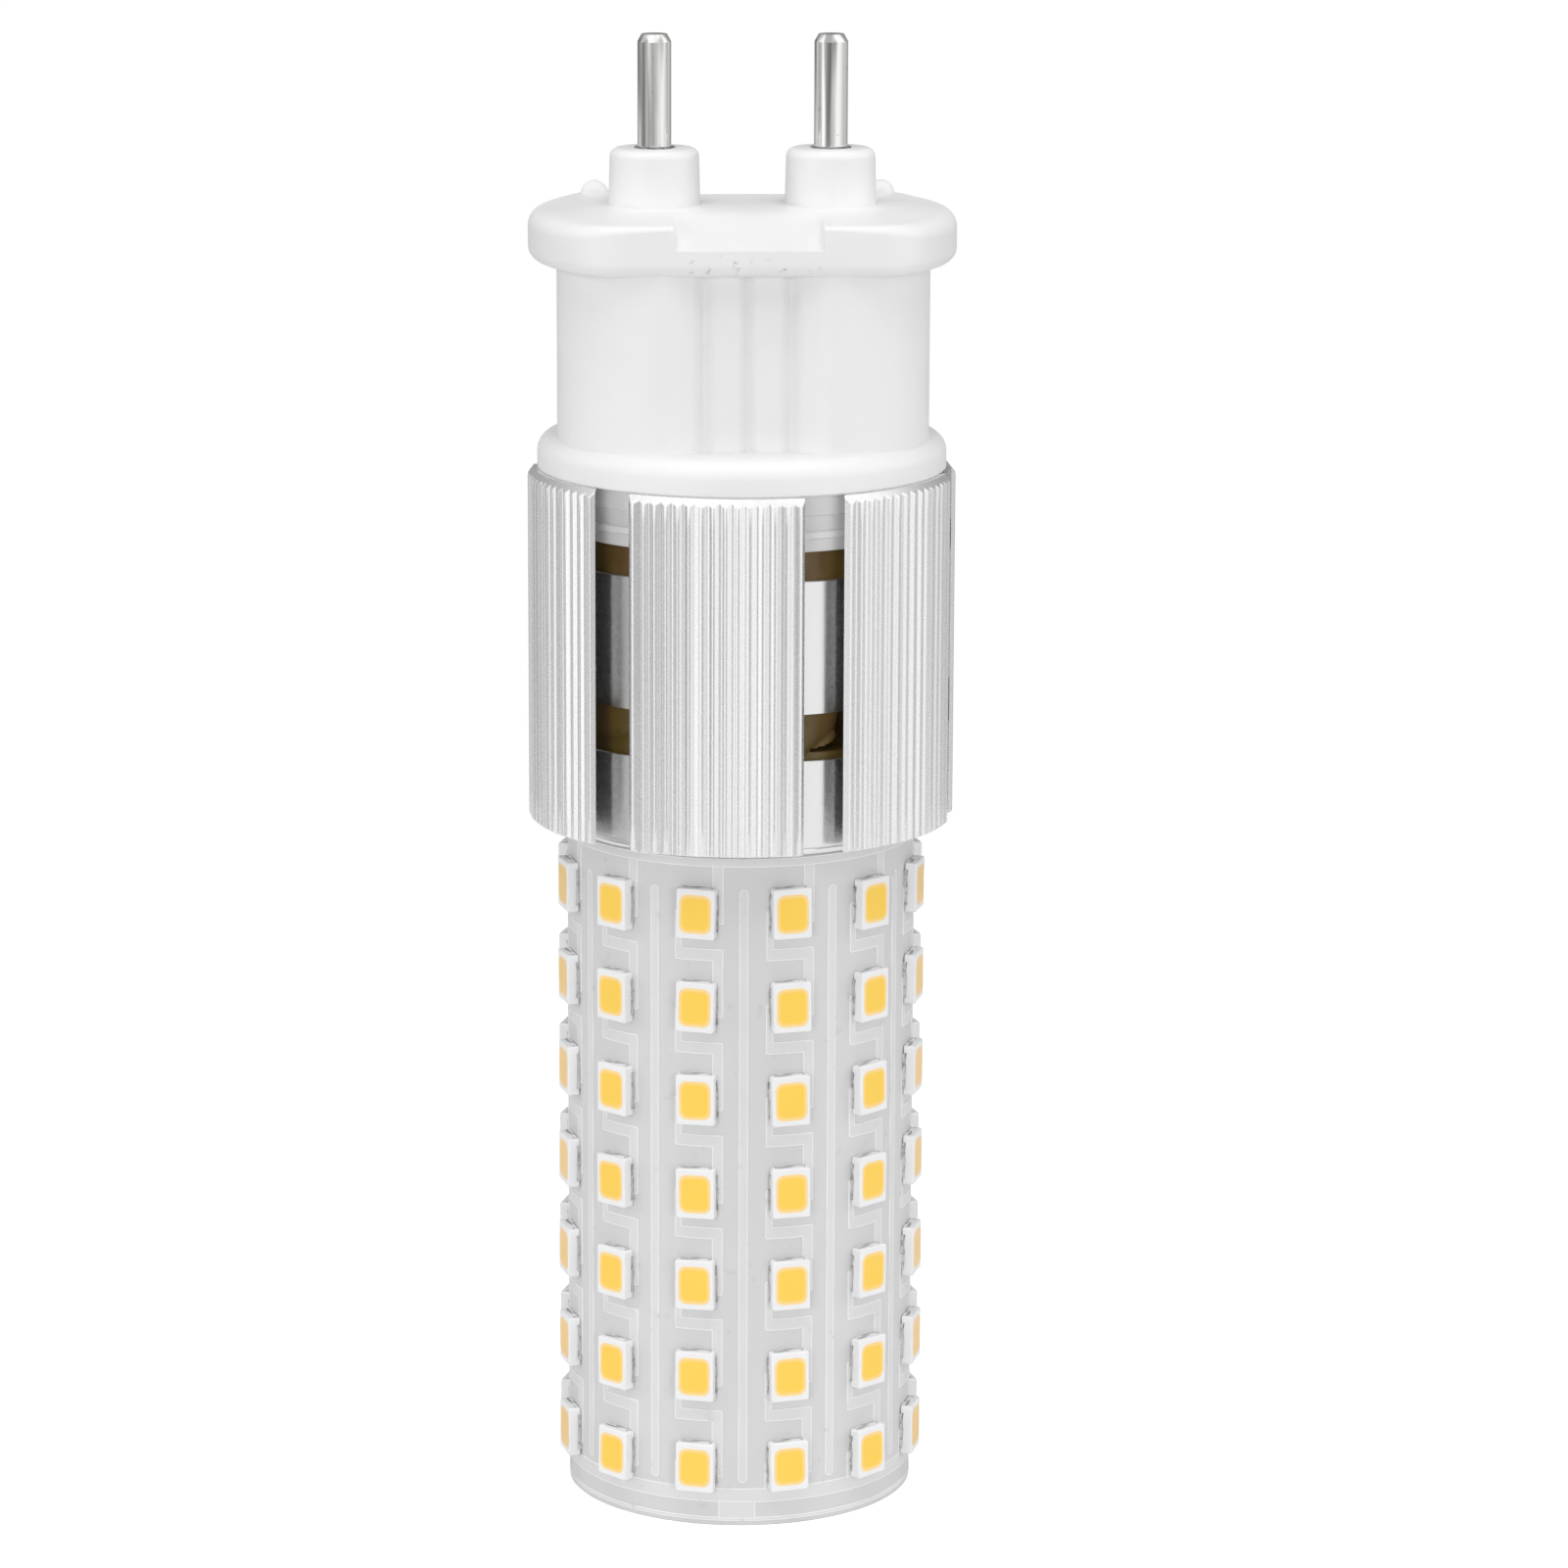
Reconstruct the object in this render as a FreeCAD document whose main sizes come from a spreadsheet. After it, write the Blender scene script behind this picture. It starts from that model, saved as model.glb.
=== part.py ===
"""Corn LED lamp with a two-pin base, standing on its LED end with the pins up.

Millimetres, +Z towards the pins, origin at the middle of the lower end.
The two pins lie on the X axis and the front of the lamp faces -Y.
"""
import FreeCAD
import Part
import Sketcher
import math
import os
from FreeCAD import Vector

SIZES = {
    # lower length: carrier tube, LED board and end cap
    "tube_diameter": 22.9,
    "tube_wall": 1.0,
    "board_thickness": 0.6,
    "board_length": 47.5,
    "shoulder_overhang": 0.1,
    "shoulder_height": 0.6,
    "cap_thickness": 2.0,
    "cap_clearance": 0.05,
    # LED grid
    "led_columns": 12,
    "led_rows": 7,
    "led_bottom_margin": 4.34,
    "led_top_margin": 3.83,
    "led_grid_turn": -16.3,
    "led_width": 2.8,
    "led_height": 3.5,
    "led_thickness": 0.78,
    "phosphor_width": 2.2,
    "phosphor_height": 2.75,
    "phosphor_depth": 0.45,
    # ribbed heat sink
    "fin_diameter": 29.44,
    "fin_thickness": 1.0,
    "fin_length": 24.35,
    "fin_count": 6,
    "fin_gap_angle": 11.5,
    "fin_gap_turn": 20.4,
    "fin_edge_undercut": 3.1,
    "fin_end_chamfer": 0.45,
    "rib_count": 15,
    "rib_depth": 0.3,
    "rib_crest_share": 0.64,
    "stem_width": 2.4,
    "window_width": 8.8,
    "notch_depth": 6.1,
    "window_height": 3.35,
    "window_rise": 5.75,
    # moulded base
    "spigot_length": 4.35,
    "spigot_clearance": 0.05,
    "collar_diameter": 28.1,
    "collar_height": 2.35,
    "collar_chamfer": 0.9,
    "waist_width": 25.3,
    "waist_depth": 21.5,
    "waist_height": 11.95,
    "lobe_radius": 8.0,
    "recess_floor_width": 7.5,
    "recess_mouth_width": 10.2,
    "recess_depth": 1.35,
    "groove_count": 3,
    "groove_pitch": 2.96,
    "groove_width": 1.1,
    "groove_depth": 0.8,
    "flange_inset": 0.1,
    "flange_depth": 22.2,
    "flange_height": 3.15,
    "flange_end_radius": 16.5,
    "flange_corner_radius": 4.0,
    "flange_underside_run": 0.6,
    "flange_underside_rise": 0.6,
    "flange_end_slope_run": 4.8,
    "flange_end_drop": 0.35,
    "flange_front_slope_run": 9.1,
    "flange_front_drop": 0.28,
    "notch_width": 10.0,
    "notch_run": 5.13,
    "notch_drop": 1.93,
    "boss_diameter": 6.2,
    "boss_height": 3.8,
    "boss_chamfer": 0.4,
    "dome_diameter": 1.9,
    "dome_top_diameter": 1.0,
    "dome_height": 0.95,
    "dome_offset": 9.95,
    "dome_setback": 8.2,
    "cavity_width": 15.2,
    "cavity_depth": 11.0,
    "roof_thickness": 4.0,
    # contact pins
    "pin_spacing": 12.0,
    "pin_diameter": 2.35,
    "pin_reach": 7.7,
    "pin_tip_chamfer": 0.45,
    "pin_shoulder_diameter": 3.0,
    "pin_shoulder_height": 0.2,
    "pin_tail": 2.5,
    "pin_tail_diameter": 2.0,
    "pin_clearance": 0.02,
    # film sleeve and driver
    "sleeve_thickness": 0.3,
    "sleeve_clearance": 0.05,
    "driver_edge_gap": 0.5,
    "driver_standoff": 5.7,
    "driver_thickness": 1.6,
    "driver_insertion": 5.0,
    "driver_clearance": 0.1,
    "capacitor_diameter": 8.0,
    "capacitor_length": 14.0,
    "capacitor_level": 8.0,
    "choke_width": 7.0,
    "choke_length": 7.0,
    "choke_height": 4.5,
    "choke_level": 30.0,
    "film_capacitor_width": 9.0,
    "film_capacitor_length": 10.0,
    "film_capacitor_height": 4.5,
    "film_capacitor_level": 40.0,
    "rectifier_width": 6.5,
    "rectifier_length": 8.4,
    "rectifier_height": 3.2,
    "rectifier_level": 38.0,
    "chip_width": 3.9,
    "chip_length": 4.9,
    "chip_height": 1.6,
    "chip_level": 20.0,
    "fuse_width": 4.0,
    "fuse_length": 8.0,
    "fuse_height": 3.0,
    "fuse_level": 28.0,
    "lead_diameter": 1.0,
    "lead_level": 2.0,
    "lead_clearance": 0.1,
}

doc = FreeCAD.newDocument("corn_led_bulb")
sheet = doc.addObject("Spreadsheet::Sheet", "sizes")
for row, (alias, number) in enumerate(SIZES.items(), start=1):
    sheet.set(f"A{row}", alias)
    sheet.set(f"B{row}", str(number))
    sheet.setAlias(f"B{row}", alias)
doc.recompute()

# Levels and radii that several pieces share, as expressions on the sheet
TUBE_RADIUS = "(sizes.tube_diameter / 2)"
BORE_RADIUS = f"({TUBE_RADIUS} - sizes.tube_wall)"
BOARD_RADIUS = f"({TUBE_RADIUS} + sizes.board_thickness)"
LED_FACE_RADIUS = f"({BOARD_RADIUS} + sizes.led_thickness)"
LED_ROW_PITCH = ("(sizes.board_length - sizes.led_bottom_margin - sizes.led_top_margin)"
                 " / (sizes.led_rows - 1)")
FIN_BASE = "(sizes.board_length + sizes.shoulder_height)"
FIN_TOP = f"({FIN_BASE} + sizes.fin_length)"
SPIGOT_END = f"({FIN_TOP} - sizes.spigot_length)"
SPIGOT_RADIUS = f"({BORE_RADIUS} - sizes.spigot_clearance)"
COLLAR_TOP = f"({FIN_TOP} + sizes.collar_height)"
FLANGE_WIDTH = "(sizes.fin_diameter - 2 * sizes.flange_inset)"
FLANGE_FOOT = f"({COLLAR_TOP} + sizes.waist_height)"
WAIST_REACH = "(sizes.waist_height + sizes.flange_underside_rise)"
FLANGE_TOP = f"({FLANGE_FOOT} + sizes.flange_underside_rise + sizes.flange_height)"
BOSS_TOP = f"({FLANGE_TOP} + sizes.boss_height)"
ROOF = f"({FLANGE_TOP} - sizes.roof_thickness)"
PIN_FOOT = f"({ROOF} - sizes.pin_tail)"
SLEEVE_RADIUS = f"({BORE_RADIUS} - sizes.sleeve_clearance)"
SLEEVE_BORE_RADIUS = f"({SLEEVE_RADIUS} - sizes.sleeve_thickness)"
DRIVER_WIDTH = f"(2 * ({SLEEVE_BORE_RADIUS} - sizes.driver_edge_gap))"
DRIVER_TOP = f"({SPIGOT_END} + sizes.driver_insertion)"
DRIVER_FOOT = "(sizes.cap_thickness + sizes.driver_standoff)"
LEAD_LEVEL = f"({DRIVER_FOOT} + sizes.lead_level)"

EXPORTS = []


def value(expression):
    """Number that an expression on the sheet gives now."""
    return float(sheet.evalExpression(expression))


def size(alias):
    """Number in one cell of the sheet."""
    return float(getattr(sheet, alias))


def bind(item, **expressions):
    """Tie properties of a document object to expressions; z, x and y mean its place."""
    for name, expression in expressions.items():
        path = f".Placement.Base.{name}" if name in ("x", "y", "z") else name
        item.setExpression(path, expression)
    return item


def cylinder(name, radius, height, **place):
    """Upright cylinder tied to the sheet."""
    item = doc.addObject("Part::Cylinder", name)
    return bind(item, Radius=radius, Height=height, **place)


def box(name, length, width, height, **place):
    """Box tied to the sheet, placed by its lowest corner."""
    item = doc.addObject("Part::Box", name)
    return bind(item, Length=length, Width=width, Height=height, **place)


def cut(name, base, tool):
    """Boolean difference of two document objects."""
    item = doc.addObject("Part::Cut", name)
    item.Base = base
    item.Tool = tool
    return item


def fuse(name, items):
    """Boolean union of several document objects, with flush faces merged."""
    item = doc.addObject("Part::MultiFuse", name)
    item.Shapes = items
    item.Refine = True
    return item


def feature(name, shape):
    """Document object that holds a shape worked out from the sheet's numbers."""
    item = doc.addObject("Part::Feature", name)
    item.Shape = shape
    return item


def export(item, node):
    """Give a finished sub-part its label, which also names its file."""
    item.Label = node
    EXPORTS.append(item)
    return item


def origin_feature(body, role):
    """Plane or axis of a body's own origin."""
    return next(part for part in body.Origin.OriginFeatures if part.Role == role)


def profile_sketch(body, name, corners):
    """Closed outline in the body's XZ plane, each corner tied to two expressions."""
    sketch = body.newObject("Sketcher::SketchObject", name)
    sketch.AttachmentSupport = [(origin_feature(body, "XZ_Plane"), "")]
    sketch.MapMode = "FlatFace"
    points = [Vector(value(across), value(up), 0) for across, up in corners]
    for index, start in enumerate(points):
        end = points[(index + 1) % len(points)]
        sketch.addGeometry(Part.LineSegment(start, end), False)
    for index in range(len(points)):
        following = (index + 1) % len(points)
        sketch.addConstraint(Sketcher.Constraint("Coincident", index, 2, following, 1))
    for index, (across, up) in enumerate(corners):
        tie_corner(sketch, index, "DistanceX", -2, across)
        tie_corner(sketch, index, "DistanceY", -1, up)
    return sketch


def tie_corner(sketch, index, kind, axis, expression):
    """Hold one coordinate of a corner on an axis, or at a distance from the origin."""
    distance = value(expression)
    if distance == 0:
        sketch.addConstraint(Sketcher.Constraint("PointOnObject", index, 1, axis))
        return
    number = sketch.addConstraint(Sketcher.Constraint(kind, -1, 1, index, 1, distance))
    sketch.setExpression(f"Constraints[{number}]", expression)


def turned_body(name, corners):
    """Body turned about the Z axis from a profile of radii and levels."""
    body = doc.addObject("PartDesign::Body", name)
    sketch = profile_sketch(body, f"{name}_profile", corners)
    turning = body.newObject("PartDesign::Revolution", f"{name}_turning")
    turning.Profile = sketch
    turning.ReferenceAxis = (origin_feature(body, "Z_Axis"), [""])
    turning.Angle = 360
    doc.recompute()
    return body


def polar(radius, degrees, level=0.0):
    """Point at an azimuth counted from the front, positive towards +X."""
    angle = math.radians(degrees)
    return Vector(radius * math.sin(angle), -radius * math.cos(angle), level)


def polygon_face(points):
    """Flat face inside a closed polygon."""
    return Part.Face(Part.makePolygon(points + points[:1]))


def prism(points, height):
    """Upright prism over a flat polygon."""
    return polygon_face(points).extrude(Vector(0, 0, height))


def make_pins():
    """Two turned pins with a chamfered tip, a shoulder on the boss and a thinner tail through it."""
    radius = "sizes.pin_diameter / 2"
    tail = "sizes.pin_tail_diameter / 2"
    tip = f"{BOSS_TOP} + sizes.pin_reach"
    shoulder = f"{BOSS_TOP} + sizes.pin_shoulder_height"
    profile = [
        ("0", PIN_FOOT),
        (tail, PIN_FOOT),
        (tail, BOSS_TOP),
        ("sizes.pin_shoulder_diameter / 2", BOSS_TOP),
        ("sizes.pin_shoulder_diameter / 2", shoulder),
        (radius, shoulder),
        (radius, f"{tip} - sizes.pin_tip_chamfer"),
        (f"{radius} - sizes.pin_tip_chamfer", tip),
        ("0", tip),
    ]
    for side, sign in (("left", "-"), ("right", "")):
        body = turned_body(f"contact_pin_{side}", profile)
        bind(body, x=f"{sign}sizes.pin_spacing / 2")
        export(body, f"contact_pin_{side}")


def make_heat_sink():
    """Tube with six ribbed plates on webs, notched and windowed behind the gaps."""
    tube = cylinder("sink_tube", TUBE_RADIUS, FIN_TOP)
    shoulder = cylinder("sink_shoulder", f"{BOARD_RADIUS} + sizes.shoulder_overhang",
                        "sizes.shoulder_height", z="sizes.board_length")
    plates = feature("fin_plates", Part.makeCompound([fin_plate(middle) for middle in fin_azimuths()]))
    stems = feature("fin_stems", Part.makeCompound(fin_stems()))
    solid = fuse("sink_solid", [tube, shoulder, plates, stems])
    bore = cylinder("sink_bore", BORE_RADIUS, FIN_TOP)
    openings = feature("sink_openings", Part.makeCompound(sink_openings()))
    bored = cut("sink_bored", solid, bore)
    windowed = cut("sink_windowed", bored, openings)
    opening = "(sizes.lead_diameter + 2 * sizes.lead_clearance)"
    hole = lead_slot("sink_lead_hole", f"{LEAD_LEVEL} - {opening} / 2", opening)
    export(cut("sink_drilled", windowed, hole), "heat_sink")


def fin_azimuths():
    """Azimuth of the middle of each plate."""
    step = 360.0 / size("fin_count")
    first = size("fin_gap_turn") + step / 2
    return [first + step * index for index in range(int(size("fin_count")))]


def fin_plate(middle):
    """Ribbed plate of flat faces, undercut at its edges, rib ends sloped back to the V grooves."""
    span = 360.0 / size("fin_count") - size("fin_gap_angle")
    first = middle - span / 2
    ribs = int(size("rib_count"))
    pitch = span / ribs
    inner = value("sizes.fin_diameter / 2 - sizes.fin_thickness")
    valley = value("sizes.fin_diameter / 2 - sizes.rib_depth")
    foot = value(FIN_BASE)
    top = value(FIN_TOP)
    faces = []
    for rib in range(ribs):
        faces += rib_faces(first + pitch * rib, pitch)
    grooves = [first + pitch * rib for rib in range(ribs + 1)]
    undercut = size("fin_edge_undercut")
    inner_span = span - 2 * undercut
    back = [first + undercut + inner_span * step / (ribs // 2) for step in range(ribs // 2, -1, -1)]
    for start, end in zip(back, back[1:]):
        faces.append(upright_face(inner, start, inner, end, foot, top))
    for inset, edge in ((back[-1], first), (back[0], first + span)):
        faces.append(upright_face(inner, inset, valley, edge, foot, top))
    for level in (foot, top):
        rim = [polar(valley, azimuth, level) for azimuth in grooves]
        rim += [polar(inner, azimuth, level) for azimuth in back]
        faces.append(polygon_face(rim))
    return Part.makeSolid(Part.makeShell(faces))


def rib_faces(start, pitch):
    """Crest, two flanks and two sloped ends of one rib."""
    crest = size("fin_diameter") / 2
    valley = crest - size("rib_depth")
    margin = pitch * (1 - size("rib_crest_share")) / 2
    foot = value(FIN_BASE)
    top = value(FIN_TOP)
    low = foot + size("fin_end_chamfer")
    high = top - size("fin_end_chamfer")
    left = start + margin
    right = start + pitch - margin
    end = start + pitch
    faces = [upright_face(crest, left, crest, right, low, high)]
    for groove, edge in ((start, left), (end, right)):
        faces.append(polygon_face([polar(valley, groove, foot), polar(crest, edge, low),
                                   polar(crest, edge, high), polar(valley, groove, top)]))
    for outer, inset in ((foot, low), (top, high)):
        faces.append(polygon_face([polar(valley, start, outer), polar(valley, end, outer),
                                   polar(crest, right, inset), polar(crest, left, inset)]))
    return faces


def upright_face(near_radius, near, far_radius, far, foot, top):
    """Upright rectangle between two azimuths."""
    return polygon_face([polar(near_radius, near, foot), polar(far_radius, far, foot),
                         polar(far_radius, far, top), polar(near_radius, near, top)])


def fin_stems():
    """Webs between the tube and the middle of each plate."""
    reach = value(f"sizes.fin_diameter / 2 - sizes.fin_thickness / 2 - {TUBE_RADIUS} + sizes.tube_wall / 2")
    start = value(f"{TUBE_RADIUS} - sizes.tube_wall / 2")
    width = size("stem_width")
    stems = []
    for middle in fin_azimuths():
        stem = Part.makeBox(width, reach, size("fin_length"), Vector(-width / 2, -start - reach, 0))
        stem.rotate(Vector(), Vector(0, 0, 1), middle)
        stem.translate(Vector(0, 0, value(FIN_BASE)))
        stems.append(stem)
    return stems


def sink_openings():
    """Cutters behind each gap: a notch from the upper end and a window below it."""
    width = size("window_width")
    inner = value(BORE_RADIUS) * math.cos(math.radians(30))
    depth = value(f"{BOARD_RADIUS} + sizes.shoulder_overhang") - inner
    spans = [
        (value(f"{FIN_TOP} - sizes.notch_depth"), size("notch_depth")),
        (value(f"{FIN_BASE} + sizes.window_rise"), size("window_height")),
    ]
    cutters = []
    for middle in fin_azimuths():
        gap = middle - 180.0 / size("fin_count")
        for level, height in spans:
            cutter = Part.makeBox(width, depth, height, Vector(-width / 2, -inner - depth, level))
            cutter.rotate(Vector(), Vector(0, 0, 1), gap)
            cutters.append(cutter)
    return cutters


def make_led_board():
    """Board wrapped round the tube below the shoulder."""
    outer = cylinder("board_outer", BOARD_RADIUS, "sizes.board_length")
    inner = cylinder("board_inner", TUBE_RADIUS, "sizes.board_length")
    export(cut("board_ring", outer, inner), "led_board")


def make_leds():
    """White housings and yellow faces, one node of each for every column."""
    block = box("led_block", "sizes.led_width", "sizes.led_thickness", "sizes.led_height",
                x="-sizes.led_width / 2", y=f"-{LED_FACE_RADIUS}", z="-sizes.led_height / 2")
    face = box("led_face", "sizes.phosphor_width", "sizes.phosphor_depth", "sizes.phosphor_height",
               x="-sizes.phosphor_width / 2", y=f"-{LED_FACE_RADIUS}", z="-sizes.phosphor_height / 2")
    housing = cut("led_housing", block, face)
    doc.recompute()
    columns = int(size("led_columns"))
    for column in range(columns):
        azimuth = size("led_grid_turn") + 360.0 / columns * column
        for pattern, words in ((housing, "housings"), (face, "phosphor")):
            node = f"led_{words}_column_{column + 1:02d}"
            export(feature(node, led_column(pattern.Shape, azimuth)), node)


def led_column(shape, azimuth):
    """Copies of one LED piece up a column at an azimuth."""
    first = size("led_bottom_margin")
    pitch = value(LED_ROW_PITCH)
    copies = []
    for row_number in range(int(size("led_rows"))):
        copy = shape.copy()
        copy.translate(Vector(0, 0, first + pitch * row_number))
        copy.rotate(Vector(), Vector(0, 0, 1), azimuth)
        copies.append(copy)
    return Part.makeCompound(copies)


def flange_outline(level):
    """Outline with straight front and back, bowed ends and round corners."""
    end_radius = size("flange_end_radius")
    corner_radius = size("flange_corner_radius")
    end_centre = value(FLANGE_WIDTH) / 2 - end_radius
    corner_y = size("flange_depth") / 2 - corner_radius
    reach = math.sqrt((end_radius - corner_radius) ** 2 - corner_y ** 2)
    corner_x = end_centre + reach
    slope = math.atan2(corner_y, reach)
    middle = (slope + math.pi / 2) / 2
    bend_x = corner_x + corner_radius * math.cos(middle)
    bend_y = corner_y + corner_radius * math.sin(middle)
    join_x = end_centre + end_radius * math.cos(slope)
    join_y = end_radius * math.sin(slope)
    edge_y = corner_y + corner_radius
    edges = []
    for turn in (1, -1):
        front, front_bend, front_join, tip, back_join, back_bend, back, across = [
            Vector(turn * x, turn * y, level) for x, y in (
                (corner_x, -edge_y), (bend_x, -bend_y), (join_x, -join_y), (end_centre + end_radius, 0),
                (join_x, join_y), (bend_x, bend_y), (corner_x, edge_y), (-corner_x, edge_y))]
        edges.append(Part.Arc(front, front_bend, front_join).toShape())
        edges.append(Part.Arc(front_join, tip, back_join).toShape())
        edges.append(Part.Arc(back_join, back_bend, back).toShape())
        edges.append(Part.LineSegment(back, across).toShape())
    return Part.Wire(edges)


def flange_solid():
    """Flange with a sloping underside and a top that falls a little to all four sides."""
    foot = value(FLANGE_FOOT)
    top = value(FLANGE_TOP)
    plate = Part.Face(flange_outline(foot)).extrude(Vector(0, 0, top - foot))
    lower_edges = [edge for edge in plate.Edges if edge.BoundBox.ZMax < foot + 1e-3]
    rise = size("flange_underside_rise")
    run = size("flange_underside_run")
    plate = plate.makeChamfer(rise, run, lower_edges)
    width = value(FLANGE_WIDTH)
    depth = size("flange_depth")
    for turn in (0, 180):
        wedges = [
            slope_wedge("flange_front_slope_run", "flange_front_drop", depth / 2, 2 * width, turn),
            slope_wedge("flange_end_slope_run", "flange_end_drop", width / 2, 2 * width, turn + 90),
            slope_wedge("notch_run", "notch_drop", depth / 2, size("notch_width"), turn),
        ]
        for wedge in wedges:
            plate = plate.cut(wedge)
    return plate


def slope_wedge(run_name, drop_name, edge, width, turn):
    """Cutter above a slope that falls by a drop over the last run before one edge of the flange."""
    run = size(run_name)
    drop = size(drop_name)
    top = value(FLANGE_TOP)
    side = [
        Vector(-width / 2, run - edge, top),
        Vector(-width / 2, -edge - run, top - 2 * drop),
        Vector(-width / 2, -edge - run, top + drop),
        Vector(-width / 2, run - edge, top + drop),
    ]
    wedge = polygon_face(side).extrude(Vector(width, 0, 0))
    wedge.rotate(Vector(), Vector(0, 0, 1), turn)
    return wedge


def waist_recess():
    """Recess with upright grooves, cut down the front of the waist."""
    edge = size("waist_depth") / 2
    floor = edge - size("recess_depth")
    half_floor = size("recess_floor_width") / 2
    half_mouth = size("recess_mouth_width") / 2
    half_groove = size("groove_width") / 2
    bottom = floor - size("groove_depth")
    count = int(size("groove_count"))
    points = [(-half_floor, floor)]
    for groove in range(count):
        centre = size("groove_pitch") * (groove - (count - 1) / 2)
        points.append((centre - half_groove, floor))
        points.append((centre - half_groove, bottom))
        points.append((centre + half_groove, bottom))
        points.append((centre + half_groove, floor))
    points.append((half_floor, floor))
    points.append((half_mouth, edge))
    points.append((half_mouth, edge + size("recess_depth")))
    points.append((-half_mouth, edge + size("recess_depth")))
    points.append((-half_mouth, edge))
    corners = [Vector(across, -away, value(COLLAR_TOP)) for across, away in points]
    return prism(corners, value(WAIST_REACH))


def make_base_shell():
    """Moulded base: spigot, collar, waist, flange, bosses and domes, hollow from below."""
    collar = turned_body("base_collar", collar_profile())
    waist = make_waist()
    flange = feature("base_flange", flange_solid())
    parts = [collar, waist, flange] + make_bosses() + make_domes()
    solid = fuse("base_solid", parts)
    hollow = fuse("base_hollow", base_hollows())
    export(cut("base_hollowed", solid, hollow), "base_shell")


def collar_profile():
    """Outline, turned about Z, of the spigot and the collar with its chamfered edge."""
    rim = "sizes.collar_diameter / 2"
    return [
        ("0", SPIGOT_END),
        (SPIGOT_RADIUS, SPIGOT_END),
        (SPIGOT_RADIUS, FIN_TOP),
        (rim, FIN_TOP),
        (rim, f"{COLLAR_TOP} - sizes.collar_chamfer"),
        (f"{rim} - sizes.collar_chamfer", COLLAR_TOP),
        ("0", COLLAR_TOP),
    ]


def make_waist():
    """Waist with round lobes at its corners and a grooved recess front and back."""
    block = box("waist_block", "sizes.waist_width", "sizes.waist_depth", WAIST_REACH,
                x="-sizes.waist_width / 2", y="-sizes.waist_depth / 2", z=COLLAR_TOP)
    doc.recompute()
    lobes = doc.addObject("Part::Fillet", "waist_lobes")
    lobes.Base = block
    radius = size("lobe_radius")
    lobes.Edges = [(number, radius, radius) for number, edge in enumerate(block.Shape.Edges, start=1)
                   if edge.BoundBox.ZLength > size("waist_height") / 2]
    front = waist_recess()
    back = front.copy()
    back.rotate(Vector(), Vector(0, 0, 1), 180)
    return cut("base_waist", lobes, feature("waist_recesses", Part.makeCompound([front, back])))


def make_bosses():
    """Round bosses that carry the pins, with a chamfered rim."""
    rim = "sizes.boss_diameter / 2"
    profile = [
        ("0", ROOF),
        (rim, ROOF),
        (rim, f"{BOSS_TOP} - sizes.boss_chamfer"),
        (f"{rim} - sizes.boss_chamfer", BOSS_TOP),
        ("0", BOSS_TOP),
    ]
    bosses = []
    for side, sign in (("left", "-"), ("right", "")):
        body = turned_body(f"boss_{side}", profile)
        bosses.append(bind(body, x=f"{sign}sizes.pin_spacing / 2"))
    return bosses


def make_domes():
    """Two small studs behind the pins, narrower at the top."""
    domes = []
    for side, sign in (("left", "-"), ("right", "")):
        stud = doc.addObject("Part::Cone", f"dome_{side}")
        domes.append(bind(stud, Radius1="sizes.dome_diameter / 2", Radius2="sizes.dome_top_diameter / 2",
                          Height="sizes.dome_height", x=f"{sign}sizes.dome_offset",
                          y="sizes.dome_setback", z=f"{FLANGE_TOP} - sizes.flange_front_drop"))
    return domes


def base_hollows():
    """Cutters for the inside: pin chamber, pin holes and the driver's slot."""
    chamber = box("pin_chamber", "sizes.cavity_width", "sizes.cavity_depth", f"{ROOF} - {SPIGOT_END}",
                  x="-sizes.cavity_width / 2", y="-sizes.cavity_depth / 2", z=SPIGOT_END)
    slot_width = f"({DRIVER_WIDTH} + 2 * sizes.driver_clearance)"
    slot_thickness = "(sizes.driver_thickness + 2 * sizes.driver_clearance)"
    slot = box("driver_slot", slot_width, slot_thickness, "sizes.driver_insertion",
               x=f"-{slot_width} / 2", y=f"-{slot_thickness} / 2", z=SPIGOT_END)
    tools = [chamber, slot]
    for side, sign in (("left", "-"), ("right", "")):
        tools.append(cylinder(f"pin_hole_{side}", "sizes.pin_tail_diameter / 2 + sizes.pin_clearance",
                              f"{BOSS_TOP} - {ROOF}", x=f"{sign}sizes.pin_spacing / 2", z=ROOF))
    return tools


def make_sleeve():
    """Insulating film tube between the end cap and the spigot, slotted up from below for the leads."""
    height = f"{SPIGOT_END} - sizes.cap_thickness"
    outer = cylinder("sleeve_outer", SLEEVE_RADIUS, height, z="sizes.cap_thickness")
    inner = cylinder("sleeve_inner", SLEEVE_BORE_RADIUS, height,
                     z="sizes.cap_thickness")
    ring = cut("sleeve_ring", outer, inner)
    reach = f"({LEAD_LEVEL} + sizes.lead_diameter / 2 + sizes.lead_clearance - sizes.cap_thickness)"
    slot = lead_slot("sleeve_lead_slot", "sizes.cap_thickness", reach)
    export(cut("sleeve_slotted", ring, slot), "insulating_sleeve")


def make_end_cap():
    """Plain disc that closes the lower end of the tube."""
    export(cylinder("cap_disc", f"{BORE_RADIUS} - sizes.cap_clearance", "sizes.cap_thickness"), "end_cap")


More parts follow.
